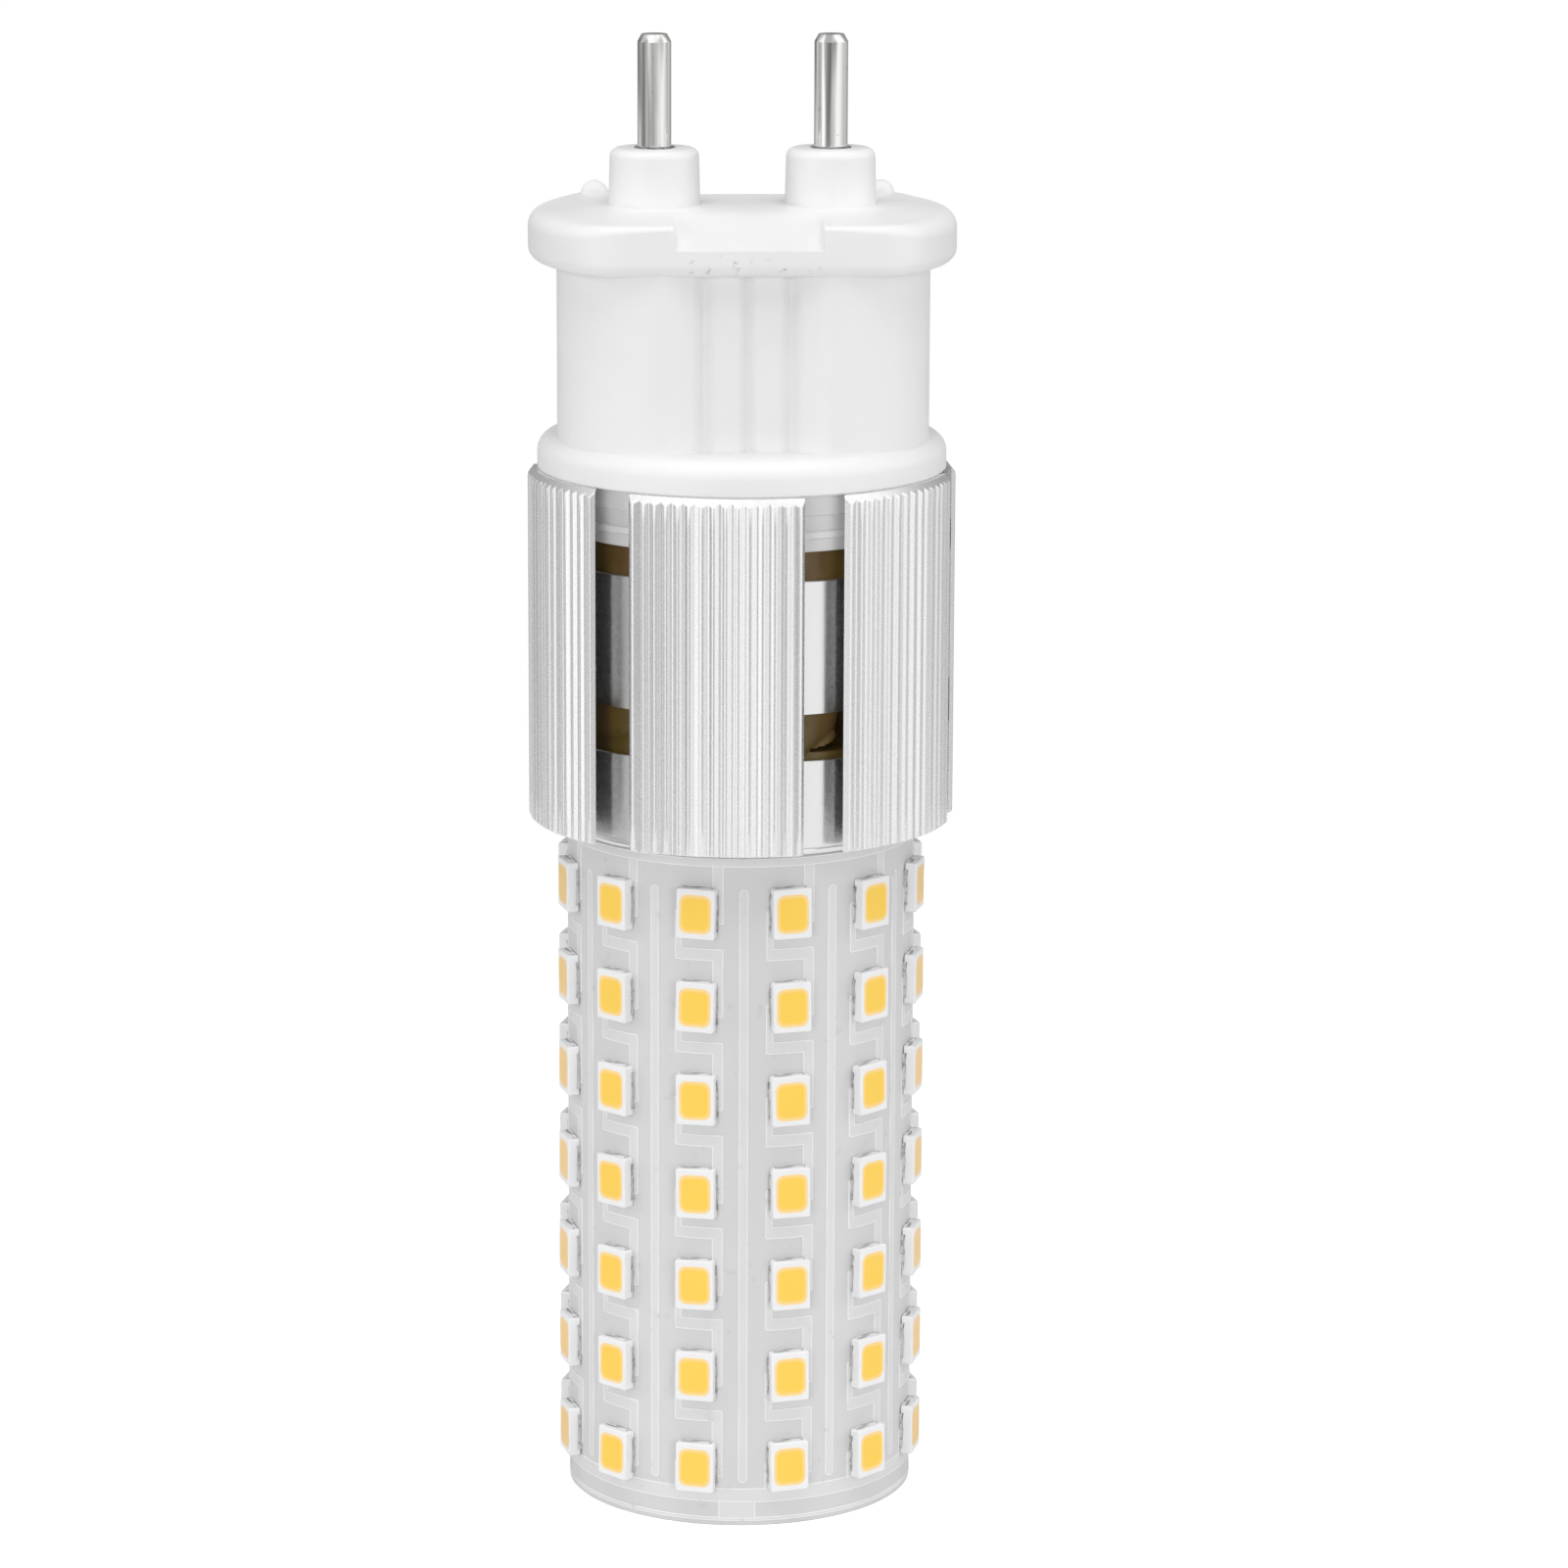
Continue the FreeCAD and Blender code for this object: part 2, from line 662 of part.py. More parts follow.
def make_driver():
    """Driver board across the middle of the tube, with its parts on both faces."""
    board = box("driver_blank", DRIVER_WIDTH, "sizes.driver_thickness", f"{DRIVER_TOP} - {DRIVER_FOOT}",
                x=f"-{DRIVER_WIDTH} / 2", y="-sizes.driver_thickness / 2", z=DRIVER_FOOT)
    export(board, "driver_board")
    rear_face = "sizes.driver_thickness / 2"
    capacitor = cylinder("capacitor_can", "sizes.capacitor_diameter / 2", "sizes.capacitor_length",
                         y=f"{rear_face} + sizes.capacitor_diameter / 2",
                         z=f"{DRIVER_FOOT} + sizes.capacitor_level")
    export(capacitor, "driver_capacitor")
    for stem in ("choke", "film_capacitor"):
        make_block(stem, rear_face)
    for stem in ("rectifier", "chip", "fuse"):
        make_block(stem, f"-{rear_face} - sizes.{stem}_height")


def make_block(stem, near_face):
    """Boxed component that lies flat on the driver board."""
    item = box(f"{stem}_case", f"sizes.{stem}_width", f"sizes.{stem}_height", f"sizes.{stem}_length",
               x=f"-sizes.{stem}_width / 2", y=near_face, z=f"{DRIVER_FOOT} + sizes.{stem}_level")
    export(item, f"driver_{stem}")


def lead_slot(name, foot, height):
    """Cutter right across the tube for the two leads to the LED board."""
    width = "(sizes.lead_diameter + 2 * sizes.lead_clearance)"
    return box(name, f"2 * {BOARD_RADIUS}", width, height,
               x=f"-{BOARD_RADIUS}", y=f"-{width} / 2", z=foot)


def make_leads():
    """Round leads from the pins down to the driver board, and square ones from its edges to the LED board."""
    half = "sizes.lead_diameter / 2"
    reach = f"sqrt({TUBE_RADIUS} ^ 2 - ({half}) ^ 2)"
    starts = {"left": f"-{reach}", "right": f"{DRIVER_WIDTH} / 2"}
    for side, sign in (("left", "-"), ("right", "")):
        lead = cylinder(f"pin_wire_{side}", half, f"{PIN_FOOT} - {DRIVER_TOP}",
                        x=f"{sign}sizes.pin_spacing / 2", z=DRIVER_TOP)
        export(lead, f"pin_lead_{side}")
        lead = box(f"led_wire_{side}", f"{reach} - {DRIVER_WIDTH} / 2", "sizes.lead_diameter",
                   "sizes.lead_diameter", x=starts[side], y=f"-{half}", z=f"{LEAD_LEVEL} - {half}")
        export(lead, f"led_lead_{side}")


def check_document():
    """Stop if any object failed or any sub-part's shape is missing or invalid."""
    for item in doc.Objects:
        if "Invalid" in item.State or "Error" in item.State:
            raise RuntimeError(f"{item.Name} failed: {item.State}")
    for item in EXPORTS:
        if item.Shape.isNull() or not item.Shape.isValid():
            raise RuntimeError(f"{item.Label} has no valid shape")


def write_parts():
    """Write one file for each finished sub-part."""
    os.makedirs("parts", exist_ok=True)
    for item in EXPORTS:
        item.Shape.exportStep(f"parts/{item.Label}.step")


make_pins()
make_base_shell()
make_heat_sink()
make_led_board()
make_leds()
make_sleeve()
make_end_cap()
make_driver()
make_leads()
doc.recompute()
check_document()
write_parts()
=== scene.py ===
"""Dressed model of a two-pin corn lamp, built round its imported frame."""

import math
import random

import bmesh
import bpy
from bpy.props import FloatProperty, FloatVectorProperty, IntProperty, PointerProperty
from mathutils import Matrix, Vector


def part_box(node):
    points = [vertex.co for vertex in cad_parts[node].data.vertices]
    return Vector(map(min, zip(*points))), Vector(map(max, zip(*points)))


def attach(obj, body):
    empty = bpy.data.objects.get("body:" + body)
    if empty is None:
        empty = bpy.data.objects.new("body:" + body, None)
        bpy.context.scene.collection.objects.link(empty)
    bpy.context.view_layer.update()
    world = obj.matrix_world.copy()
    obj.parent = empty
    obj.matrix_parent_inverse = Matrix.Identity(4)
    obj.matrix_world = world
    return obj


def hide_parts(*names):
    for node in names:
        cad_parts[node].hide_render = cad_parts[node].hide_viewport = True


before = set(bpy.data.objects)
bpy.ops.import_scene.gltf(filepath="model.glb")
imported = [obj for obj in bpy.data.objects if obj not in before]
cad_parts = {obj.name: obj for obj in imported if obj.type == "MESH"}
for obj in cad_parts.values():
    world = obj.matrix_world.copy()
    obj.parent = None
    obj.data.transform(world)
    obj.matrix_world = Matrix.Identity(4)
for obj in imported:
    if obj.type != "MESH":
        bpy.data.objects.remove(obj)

bl_info = {
    "name": "Corn lamp",
    "version": (1, 0, 0),
    "blender": (4, 5, 0),
    "location": "3D View > Sidebar > Corn lamp",
    "description": "Models a corn lamp with a two-pin base round its packed frame",
    "category": "Object",
}

MM = 0.001
MERGE = 1e-7
LARGE_ROUND = 128
GRAIN_LOW, GRAIN_HIGH = 0.3, 0.7
WHITE = (1.0, 1.0, 1.0, 1.0)
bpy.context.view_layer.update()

# Levels and radii of the solids
BASE_FOOT, BASE_TOP = (corner.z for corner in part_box("base_shell"))
SINK_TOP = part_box("heat_sink")[1].z
SINK_RADIUS = min(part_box("heat_sink")[1].x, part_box("heat_sink")[1].y)
BOARD_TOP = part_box("led_board")[1].z
BOARD_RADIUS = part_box("led_board")[1].x
PIN_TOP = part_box("contact_pin_left")[1].z

# Steps of the spigot: height above its end, and distance inside its radius, in mm
SPIGOT_STEPS = (
    (0.15, 0.25), (0.85, 0.25), (0.95, 0.05), (1.35, 0.05),
    (1.45, 0.3), (2.4, 0.3), (2.5, 0.1), (2.7, 0.1),
)

# Tracks of the board: edges of each band round it in mm, ends of a bar, and where a column starts and ends
BOARD_BANDS = ((46.85, 47.42), (1.7, 2.7), (0.35, 0.6))
BAR_ENDS = (3.1 * MM, 45.3 * MM)
DROP_TOP = 46.95 * MM
TAIL_FOOT = 2.6 * MM

# Bare pad at the front of the board's foot: its reach in degrees, and its lower and upper edge
PAD_SPAN = (-9.2, 2.9)
PAD_ENDS = (0.5 * MM, 1.8 * MM)

# Tones that the metal mirrors below and above the horizon: degrees round from the front, and the grey there
LOW_TONES = (
    (-180, 0.35), (-142, 0.42), (-117, 0.80), (-102, 0.46), (-93, 0.22), (-80, 0.18), (-70, 0.60),
    (-60, 1.25), (-46, 1.25), (-36, 0.70), (-29, 0.50), (-22, 0.22), (-8, 0.18), (2, 0.42), (14, 0.52),
    (24, 0.72), (34, 1.0), (46, 1.05), (60, 0.95), (76, 0.70), (88, 0.46), (98, 0.42), (116, 0.60),
    (138, 0.40), (165, 0.35), (180, 0.35),
)
HIGH_TONES = (
    (-180, 0.30), (-140, 0.35), (-115, 0.60), (-90, 1.05), (-50, 1.25), (-20, 1.22), (0, 1.05),
    (25, 1.05), (60, 1.18), (100, 1.15), (118, 0.5), (140, 0.3), (180, 0.3),
)


def length(name, description, millimetres):
    """A length that a user may change, given in millimetres."""
    return FloatProperty(name=name, description=description, default=millimetres * MM,
                         unit="LENGTH", subtype="DISTANCE", precision=5)


def turn(name, description, degrees):
    """An angle that a user may change, given in degrees."""
    return FloatProperty(name=name, description=description, default=math.radians(degrees),
                         unit="ROTATION", subtype="ANGLE")


def count(name, description, number):
    """A number of like features."""
    return IntProperty(name=name, description=description, default=number, min=1)


def colour(name, description, value):
    """A linear colour that a user may change."""
    return FloatVectorProperty(name=name, description=description, default=value, size=3,
                               subtype="COLOR", min=0.0, max=1.0)


class BaseSizes(bpy.types.PropertyGroup):
    """Sizes of the white moulded base."""

    collar_diameter: length("Collar diameter", "Round collar above the heat sink", 28.1)
    collar_height: length("Collar height", "Height of the collar", 2.35)
    collar_round: length("Collar round", "Radius of the collar's upper edge", 1.2)
    spigot_diameter: length("Spigot diameter", "Round end inside the heat sink", 25.9)
    spigot_lift: length("Spigot lift", "Spigot end above the lowest point of the solid base", 0.37)
    waist_width: length("Waist width", "Width of the waist across the pins", 25.3)
    waist_depth: length("Waist depth", "Depth of the waist front to back", 21.5)
    waist_height: length("Waist height", "Height from collar to flange", 11.95)
    lobe_radius: length("Lobe radius", "Radius of the waist's four corners", 8.0)
    recess_mouth: length("Recess mouth", "Width of the recess at its mouth", 10.2)
    recess_floor: length("Recess floor", "Width of the recess at its floor", 7.5)
    recess_depth: length("Recess depth", "Depth of the recess", 1.1)
    groove_pitch: length("Groove pitch", "Spacing of the three grooves", 2.92)
    groove_width: length("Groove width", "Width of a groove", 1.85)
    groove_depth: length("Groove depth", "Depth of a groove", 0.55)
    flange_width: length("Flange width", "Width of the flange across the pins", 29.24)
    flange_depth: length("Flange depth", "Depth of the flange front to back", 22.2)
    flange_height: length("Flange height", "Height of the flange", 3.75)
    flange_end_radius: length("Flange end radius", "Radius of the bowed ends", 16.5)
    flange_corner_radius: length("Flange corner radius", "Radius of the corners", 4.0)
    lower_round: length("Lower round", "Radius of the flange's lower edge", 0.9)
    end_run: length("End slope run", "Length of the slope at each end", 4.8)
    end_drop: length("End slope drop", "Fall of the slope at each end", 0.35)
    front_run: length("Front slope run", "Length of the slope front and back", 9.1)
    front_drop: length("Front slope drop", "Fall of the slope front and back", 0.28)
    notch_width: length("Notch width", "Width of the ramp front and back", 10.0)
    notch_run: length("Notch run", "Length of the ramp", 5.13)
    notch_drop: length("Notch drop", "Fall of the ramp", 1.93)
    edge_round: length("Edge round", "Radius of the flange's upper edge at the front", 0.35)
    end_round: length("End round", "Radius of the flange's upper edge at the ends", 1.1)
    boss_diameter: length("Boss diameter", "Round boss below each pin", 6.2)
    boss_height: length("Boss height", "Height of a boss above the flange", 3.8)
    boss_round: length("Boss round", "Radius of a boss's upper rim", 0.6)
    dome_diameter: length("Dome diameter", "Small dome behind each pin", 1.9)
    dome_offset: length("Dome offset", "Sideways place of a dome", 9.95)
    dome_setback: length("Dome setback", "Place of a dome behind the pins", 8.2)
    plastic: colour("Plastic", "Colour of the moulding", (0.80, 0.80, 0.802))


class PinSizes(bpy.types.PropertyGroup):
    """Sizes of the two contact pins."""

    spacing: length("Spacing", "Distance between the pins", 12.0)
    diameter: length("Diameter", "Diameter of a pin", 2.29)
    tip_chamfer: length("Tip chamfer", "How far the sloped edge at the tip runs in", 0.28)
    tip_height: length("Tip height", "Height of the sloped edge at the tip", 0.51)
    shoulder: length("Shoulder", "Diameter of the rough ring at the foot", 3.0)
    plating: colour("Plating", "Colour of the plating", (0.78, 0.777, 0.77))


class SinkSizes(bpy.types.PropertyGroup):
    """Sizes of the ribbed heat sink."""

    plates: count("Plates", "Number of ribbed plates", 6)
    plate_thickness: length("Plate thickness", "Thickness of a plate", 1.0)
    plate_length: length("Plate length", "Height of a plate", 24.35)
    gap_angle: turn("Gap angle", "Gap between two plates", 11.5)
    gap_turn: turn("Gap turn", "Where the first gap lies", 20.4)
    ribs: count("Ribs", "Ribs on a plate", 15)
    rib_depth: length("Rib depth", "Depth of the grooves between ribs", 0.19)
    lip_run: length("Lip run", "Height of the sloped lip at the upper end", 0.55)
    foot_run: length("Foot run", "Height of the sloped edge at the lower end", 0.12)
    lip_drop: length("Lip drop", "Depth of the sloped lip", 0.42)
    side_run: length("Side run", "Width of the sloped edge at each side", 0.3)
    undercut: length("Undercut", "How far the plate is cut back behind its sides", 0.75)
    web_width: length("Web width", "Thickness of the web behind a plate", 2.4)
    core_diameter: length("Core diameter", "Outside of the bright core behind the plates", 25.8)
    core_wall: length("Core wall", "Wall of the bright core", 0.5)
    tube_diameter: length("Tube diameter", "Outside of the tube below the plates", 22.9)
    tube_wall: length("Tube wall", "Wall of the tube", 1.0)
    notch_depth: length("Notch depth", "Opening from the upper end", 5.92)
    window_rise: length("Window rise", "Height of the lower opening above the foot", 6.12)
    window_height: length("Window height", "Height of the lower opening", 3.21)
    shoulder_height: length("Shoulder height", "Ring between board and plates", 0.6)
    shoulder_overhang: length("Shoulder overhang", "How far the ring stands proud", 0.1)
    aluminium: colour("Aluminium", "Colour of the metal", (0.87, 0.87, 0.87))


class BoardSizes(bpy.types.PropertyGroup):
    """Sizes of the wrapped LED board and its tracks."""

    thickness: length("Thickness", "Thickness of the board", 0.6)
    track_height: length("Track height", "How far a track stands proud", 0.05)
    # Width of the band along a track's edge that carries the painted highlight
    track_rim: length("Track rim", "Width of a track's pale edge", 0.08)
    left_leg: length("Left leg", "Width of a track's left leg", 0.48)
    right_leg: length("Right leg", "Width of a track's right leg", 0.74)
    band: length("Band", "Height of a track's level band", 0.82)
    bar_width: length("Bar width", "Width of a long bar", 0.62)
    mask: colour("Mask", "Colour of the board", (0.62, 0.62, 0.625))
    track: colour("Track", "Colour of the board over a track", (0.675, 0.675, 0.68))
    # Colour of the painted highlight along the edge of a track
    track_highlight: colour("Track edge", "Colour along the edge of a track", (0.90, 0.90, 0.905))


class LedSizes(bpy.types.PropertyGroup):
    """Sizes and places of the LEDs."""

    columns: count("Columns", "Columns round the board", 12)
    rows: count("Rows", "LEDs in a column", 7)
    first_level: length("First level", "Height of the lowest row", 4.34)
    pitch: length("Row pitch", "Spacing of the rows", 6.555)
    grid_turn: turn("Grid turn", "Where the first column lies", -16.3)
    width: length("Width", "Width of a housing", 2.7)
    height: length("Height", "Height of a housing", 3.5)
    thickness: length("Thickness", "Thickness of a housing", 0.78)
    face_width: length("Face width", "Width of the yellow face", 2.5)
    face_height: length("Face height", "Height of the yellow face", 3.02)
    face_corner: length("Face corner", "Corner radius of the yellow face", 0.6)
    housing: colour("Housing", "Colour of a housing", (0.81, 0.81, 0.82))
    centre: colour("Face centre", "Colour in the middle of a face", (0.92, 0.60, 0.083))
    rim: colour("Face rim", "Colour at the edge of a face", (0.93, 0.68, 0.36))
    # Painted sheen: the colour a face takes when seen at a slant
    haze: colour("Face haze", "Colour of a face seen at a slant", (0.84, 0.58, 0.34))


SIZE_GROUPS = {
    "lamp_base": BaseSizes,
    "lamp_pins": PinSizes,
    "lamp_sink": SinkSizes,
    "lamp_board": BoardSizes,
    "lamp_leds": LedSizes,
}


def clear_selection():
    """Object mode with nothing selected."""
    if bpy.context.mode != "OBJECT":
        bpy.ops.object.mode_set(mode="OBJECT")
    bpy.ops.object.select_all(action="DESELECT")


def take(obj):
    """Makes one object the only one selected, and active."""
    clear_selection()
    obj.select_set(True)
    bpy.context.view_layer.objects.active = obj
    return obj


def settle(name):
    """Names the new primitive and puts its place into its mesh."""
    obj = bpy.context.object
    obj.name = name
    obj.data.name = name
    bpy.ops.object.transform_apply(location=True, rotation=True, scale=True)
    return obj


def add_box(name, low, high):
    """Block between two corners."""
    clear_selection()
    middle = [(a + b) / 2 for a, b in zip(low, high)]
    extent = [b - a for a, b in zip(low, high)]
    bpy.ops.mesh.primitive_cube_add(size=1.0, location=middle, scale=extent)
    return settle(name)


def add_sheet(name, xs, zs):
    """Upright sheet that faces the front, with columns and rows at the places given."""
    clear_selection()
    bpy.ops.mesh.primitive_grid_add(x_subdivisions=len(xs) - 1, y_subdivisions=len(zs) - 1, size=2.0,
                                    rotation=(math.pi / 2, 0.0, 0.0))
    sheet = settle(name)
    if len(sheet.data.vertices) != len(xs) * len(zs):
        raise RuntimeError(f"{name} has the wrong number of columns and rows")
    for vertex in sheet.data.vertices:
        column = round((vertex.co.x + 1.0) / 2.0 * (len(xs) - 1))
        row = round((vertex.co.z + 1.0) / 2.0 * (len(zs) - 1))
        vertex.co = (xs[column], 0.0, zs[row])
    return sheet


def add_turned(name, profile, segments, centre=(0.0, 0.0)):
    """Round piece: a line of points (radius, level), extruded one by one, then spun about its centre."""
    clear_selection()
    bpy.ops.mesh.primitive_plane_add(size=MM)
    piece = settle(name)
    pick(piece, "VERT", lambda vertex: vertex.index > 0)
    bpy.ops.mesh.delete(type="VERT")
    mesh = bmesh.from_edit_mesh(piece.data)
    mesh.verts.ensure_lookup_table()
    mesh.verts[0].co = (centre[0] + profile[0][0], centre[1], profile[0][1])
    bmesh.update_edit_mesh(piece.data)
    bpy.ops.mesh.select_all(action="SELECT")
    for near, far in zip(profile, profile[1:]):
        step = (far[0] - near[0], 0.0, far[1] - near[1])
        bpy.ops.mesh.extrude_region_move(TRANSFORM_OT_translate={"value": step})
    bpy.ops.mesh.select_all(action="SELECT")
    bpy.ops.mesh.spin(steps=segments, angle=2 * math.pi, center=(centre[0], centre[1], 0.0), axis=(0, 0, 1))
    return close_shell(piece)


def add_stacked(name, rings):
    """Closed piece from rings of as many points each: the first is filled, then extruded ring by ring."""
    clear_selection()
    bpy.ops.mesh.primitive_circle_add(vertices=len(rings[0]), radius=0.01, fill_type="NGON")
    piece = settle(name)
    pick(piece, "FACE", always)
    for index, ring in enumerate(rings):
        if index:
            bpy.ops.mesh.extrude_region_move(TRANSFORM_OT_translate={"value": (0.0, 0.0, 0.0)})
        mesh = bmesh.from_edit_mesh(piece.data)
        fresh = [vertex for vertex in mesh.verts if vertex.select]
        fresh.sort(key=lambda vertex: (math.atan2(vertex.co.y, vertex.co.x) + 1e-5) % (2 * math.pi))
        for vertex, place in zip(fresh, ring):
            vertex.co = place
        bmesh.update_edit_mesh(piece.data)
    object_mode()
    return close_shell(piece)


def pick(obj, kind, test):
    """Edit mode with the vertices, edges or faces selected that pass a test."""
    take(obj)
    bpy.ops.object.mode_set(mode="EDIT")
    bpy.ops.mesh.select_mode(type=kind)
    bpy.ops.mesh.select_all(action="DESELECT")
    mesh = bmesh.from_edit_mesh(obj.data)
    for item in {"VERT": mesh.verts, "EDGE": mesh.edges, "FACE": mesh.faces}[kind]:
        if test(item):
            item.select_set(True)
    mesh.select_flush_mode()
    bmesh.update_edit_mesh(obj.data)


def always(item):
    """Test that every vertex, edge or face passes."""
    return True


def object_mode():
    """Back to object mode."""
    bpy.ops.object.mode_set(mode="OBJECT")


def close_shell(obj):
    """Merges doubles and turns every face outwards."""
    pick(obj, "FACE", always)
    bpy.ops.mesh.remove_doubles(threshold=MERGE)
    bpy.ops.mesh.normals_make_consistent(inside=False)
    object_mode()
    return obj


def apply_modifier(obj, kind, **settings):
    """Adds a modifier and applies it."""
    take(obj)
    modifier = obj.modifiers.new(kind.lower(), kind)
    for key, value in settings.items():
        setattr(modifier, key, value)
    bpy.ops.object.modifier_apply(modifier=modifier.name)
    return obj


def cut_away(obj, *tools):
    """Takes the tools' shapes out of a piece."""
    for tool in tools:
        apply_modifier(obj, "BOOLEAN", operation="DIFFERENCE", solver="EXACT", object=tool)
        discard(tool)
    return obj


def round_edges(obj, width, segments, degrees):
    """Rounds every edge sharper than an angle."""
    close_shell(obj)
    return apply_modifier(obj, "BEVEL", width=width, segments=segments, limit_method="ANGLE",
                          angle_limit=math.radians(degrees), use_clamp_overlap=False)


def shade(obj, degrees=35.0):
    """Smooth shading across edges flatter than an angle."""
    take(obj)
    bpy.ops.object.shade_smooth_by_angle(angle=math.radians(degrees))
    return apply_modifier(obj, "WEIGHTED_NORMAL", keep_sharp=True, weight=50)


def join(pieces, name):
    """One object from several."""
    take(pieces[0])
    for piece in pieces:
        piece.select_set(True)
    bpy.ops.object.join()
    joined = bpy.context.object
    joined.name = name
    joined.data.name = name
    return joined


def copy_of(obj, name, place):
    """Copy with a mesh of its own, moved by a matrix."""
    mesh = obj.data.copy()
    mesh.name = name
    mesh.transform(place)
    copy = bpy.data.objects.new(name, mesh)
    bpy.context.scene.collection.objects.link(copy)
    return copy


def discard(obj):
    """Removes a pattern or a cutter that has been used."""
    bpy.data.objects.remove(obj, do_unlink=True)


def wrap_round(obj, radius):
    """Rolls a flat sheet on to an upright tube: x becomes the arc, and -y the height above it."""
    for vertex in obj.data.vertices:
        angle = vertex.co.x / radius
        reach = radius - vertex.co.y
        vertex.co = (reach * math.sin(angle), -reach * math.cos(angle), vertex.co.z)
    return obj


def hand_over(obj, material, slot, *nodes):
    """Gives a finished piece its material and body, and hides the nodes it stands for."""
    obj.data.materials.clear()
    obj.data.materials.append(material)
    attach(obj, "root")
    if nodes:
        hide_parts(*nodes)
    return obj


def even(start, end, steps):
    """Evenly spaced places, both ends included."""
    return [start + (end - start) * step / steps for step in range(steps + 1)]


def smooth(share):
    """Soft step from 0 to 1, level at both ends."""
    share = min(1.0, max(0.0, share))
    return share * share * (3 - 2 * share)


def round_corner(rim, top, bend):
    """Quarter round of a turned piece, from its side up to its top."""
    return [(rim - bend + bend * math.cos(angle), top - bend + bend * math.sin(angle))
            for angle in even(0.0, math.pi / 2, 6)]


def mirrored(quarter):
    """Whole outline from a quarter that runs from the right side to the middle of the back."""
    half = quarter + [(-x, y) for x, y in reversed(quarter[:-1])]
    return half + [(-x, -y) for x, y in half[1:-1]]


def new_group(name, inputs, outputs):
    """Shader group with its named sockets and nothing else yet."""
    group = bpy.data.node_groups.new(name, "ShaderNodeTree")
    for label, kind, default in inputs:
        socket = group.interface.new_socket(label, in_out="INPUT", socket_type=kind)
        if default is not None:
            socket.default_value = default
    for label, kind in outputs:
        group.interface.new_socket(label, in_out="OUTPUT", socket_type=kind)
    return group


def node(tree, kind, **settings):
    """New node with its properties set by name."""
    made = tree.nodes.new(kind)
    for key, value in settings.items():
        setattr(made, key, value)
    return made


def wire(tree, source, target):
    """Link between two sockets."""
    tree.links.new(source, target)


def feed(tree, item, socket):
    """Links a socket to another, or sets it to a value."""
    if isinstance(item, bpy.types.NodeSocket):
        wire(tree, item, socket)
    else:
        socket.default_value = item


def noise_node(tree, vector, scale, detail, roughness=0.5):
    """Noise texture on a vector, with its scale a number or a socket."""
    made = node(tree, "ShaderNodeTexNoise")
    feed(tree, scale, made.inputs["Scale"])
    made.inputs["Detail"].default_value = detail
    made.inputs["Roughness"].default_value = roughness
    wire(tree, vector, made.inputs["Vector"])
    return made


def span_node(tree, value, low, high, to_low=0.0, to_high=1.0):
    """Maps a value from one range to another, clamped."""
    made = node(tree, "ShaderNodeMapRange")
    made.inputs["From Min"].default_value = low
    made.inputs["From Max"].default_value = high
    made.inputs["To Min"].default_value = to_low
    made.inputs["To Max"].default_value = to_high
    wire(tree, value, made.inputs["Value"])
    return made.outputs["Result"]


def math_node(tree, operation, first, second=None):
    """Result of an operation on one or two values, each a number or a socket."""
    made = node(tree, "ShaderNodeMath", operation=operation)
    feed(tree, first, made.inputs[0])
    if second is not None:
        feed(tree, second, made.inputs[1])
    return made.outputs[0]


def set_stops(ramp, stops):
    """Gives a colour ramp its stops: places from 0 to 1, each with a colour."""
    elements = ramp.color_ramp.elements
    for index, (position, tint) in enumerate(stops):
        entry = elements[index] if index < 2 else elements.new(position)
        entry.position = position
        entry.color = (*tint, 1.0)


def fine_grain_group():
    """Fine grain of a moulded or blasted surface: a height, and a value that drifts over larger patches."""
    name = "fine_grain"
    if name in bpy.data.node_groups:
        return bpy.data.node_groups[name]
    group = new_group(name, [("Vector", "NodeSocketVector", None), ("Scale", "NodeSocketFloat", 4000.0)],
                      [("Height", "NodeSocketFloat"), ("Value", "NodeSocketFloat")])
    entry = node(group, "NodeGroupInput")
    leave = node(group, "NodeGroupOutput")
    grain = noise_node(group, entry.outputs["Vector"], entry.outputs["Scale"], 3.0)
    patch = noise_node(group, entry.outputs["Vector"], 180.0, 3.0)
    wire(group, grain.outputs["Fac"], leave.inputs["Height"])
    wire(group, patch.outputs["Fac"], leave.inputs["Value"])
    return group


def scuff_group():
    """Scattered small scuffs: a mask of specks at a chosen scale and share."""
    name = "scattered_scuffs"
    if name in bpy.data.node_groups:
        return bpy.data.node_groups[name]
    group = new_group(name, [("Vector", "NodeSocketVector", None), ("Scale", "NodeSocketFloat", 700.0),
                             ("Level", "NodeSocketFloat", 0.68)], [("Mask", "NodeSocketFloat")])
    entry = node(group, "NodeGroupInput")
    leave = node(group, "NodeGroupOutput")
    speck = noise_node(group, entry.outputs["Vector"], entry.outputs["Scale"], 4.0, 0.62)
    above = math_node(group, "SUBTRACT", speck.outputs["Fac"], entry.outputs["Level"])
    wire(group, span_node(group, above, 0.0, 0.08), leave.inputs["Mask"])
    return group


def new_material(name):
    """Material with its shader, and the Object coordinates that its pattern reads."""
    material = bpy.data.materials.new(name)
    material.use_nodes = True
    tree = material.node_tree
    tree.nodes.clear()
    output = node(tree, "ShaderNodeOutputMaterial")
    shader = node(tree, "ShaderNodeBsdfPrincipled")
    place = node(tree, "ShaderNodeTexCoord")
    wire(tree, shader.outputs["BSDF"], output.inputs["Surface"])
    return material, tree, shader, place.outputs["Object"]


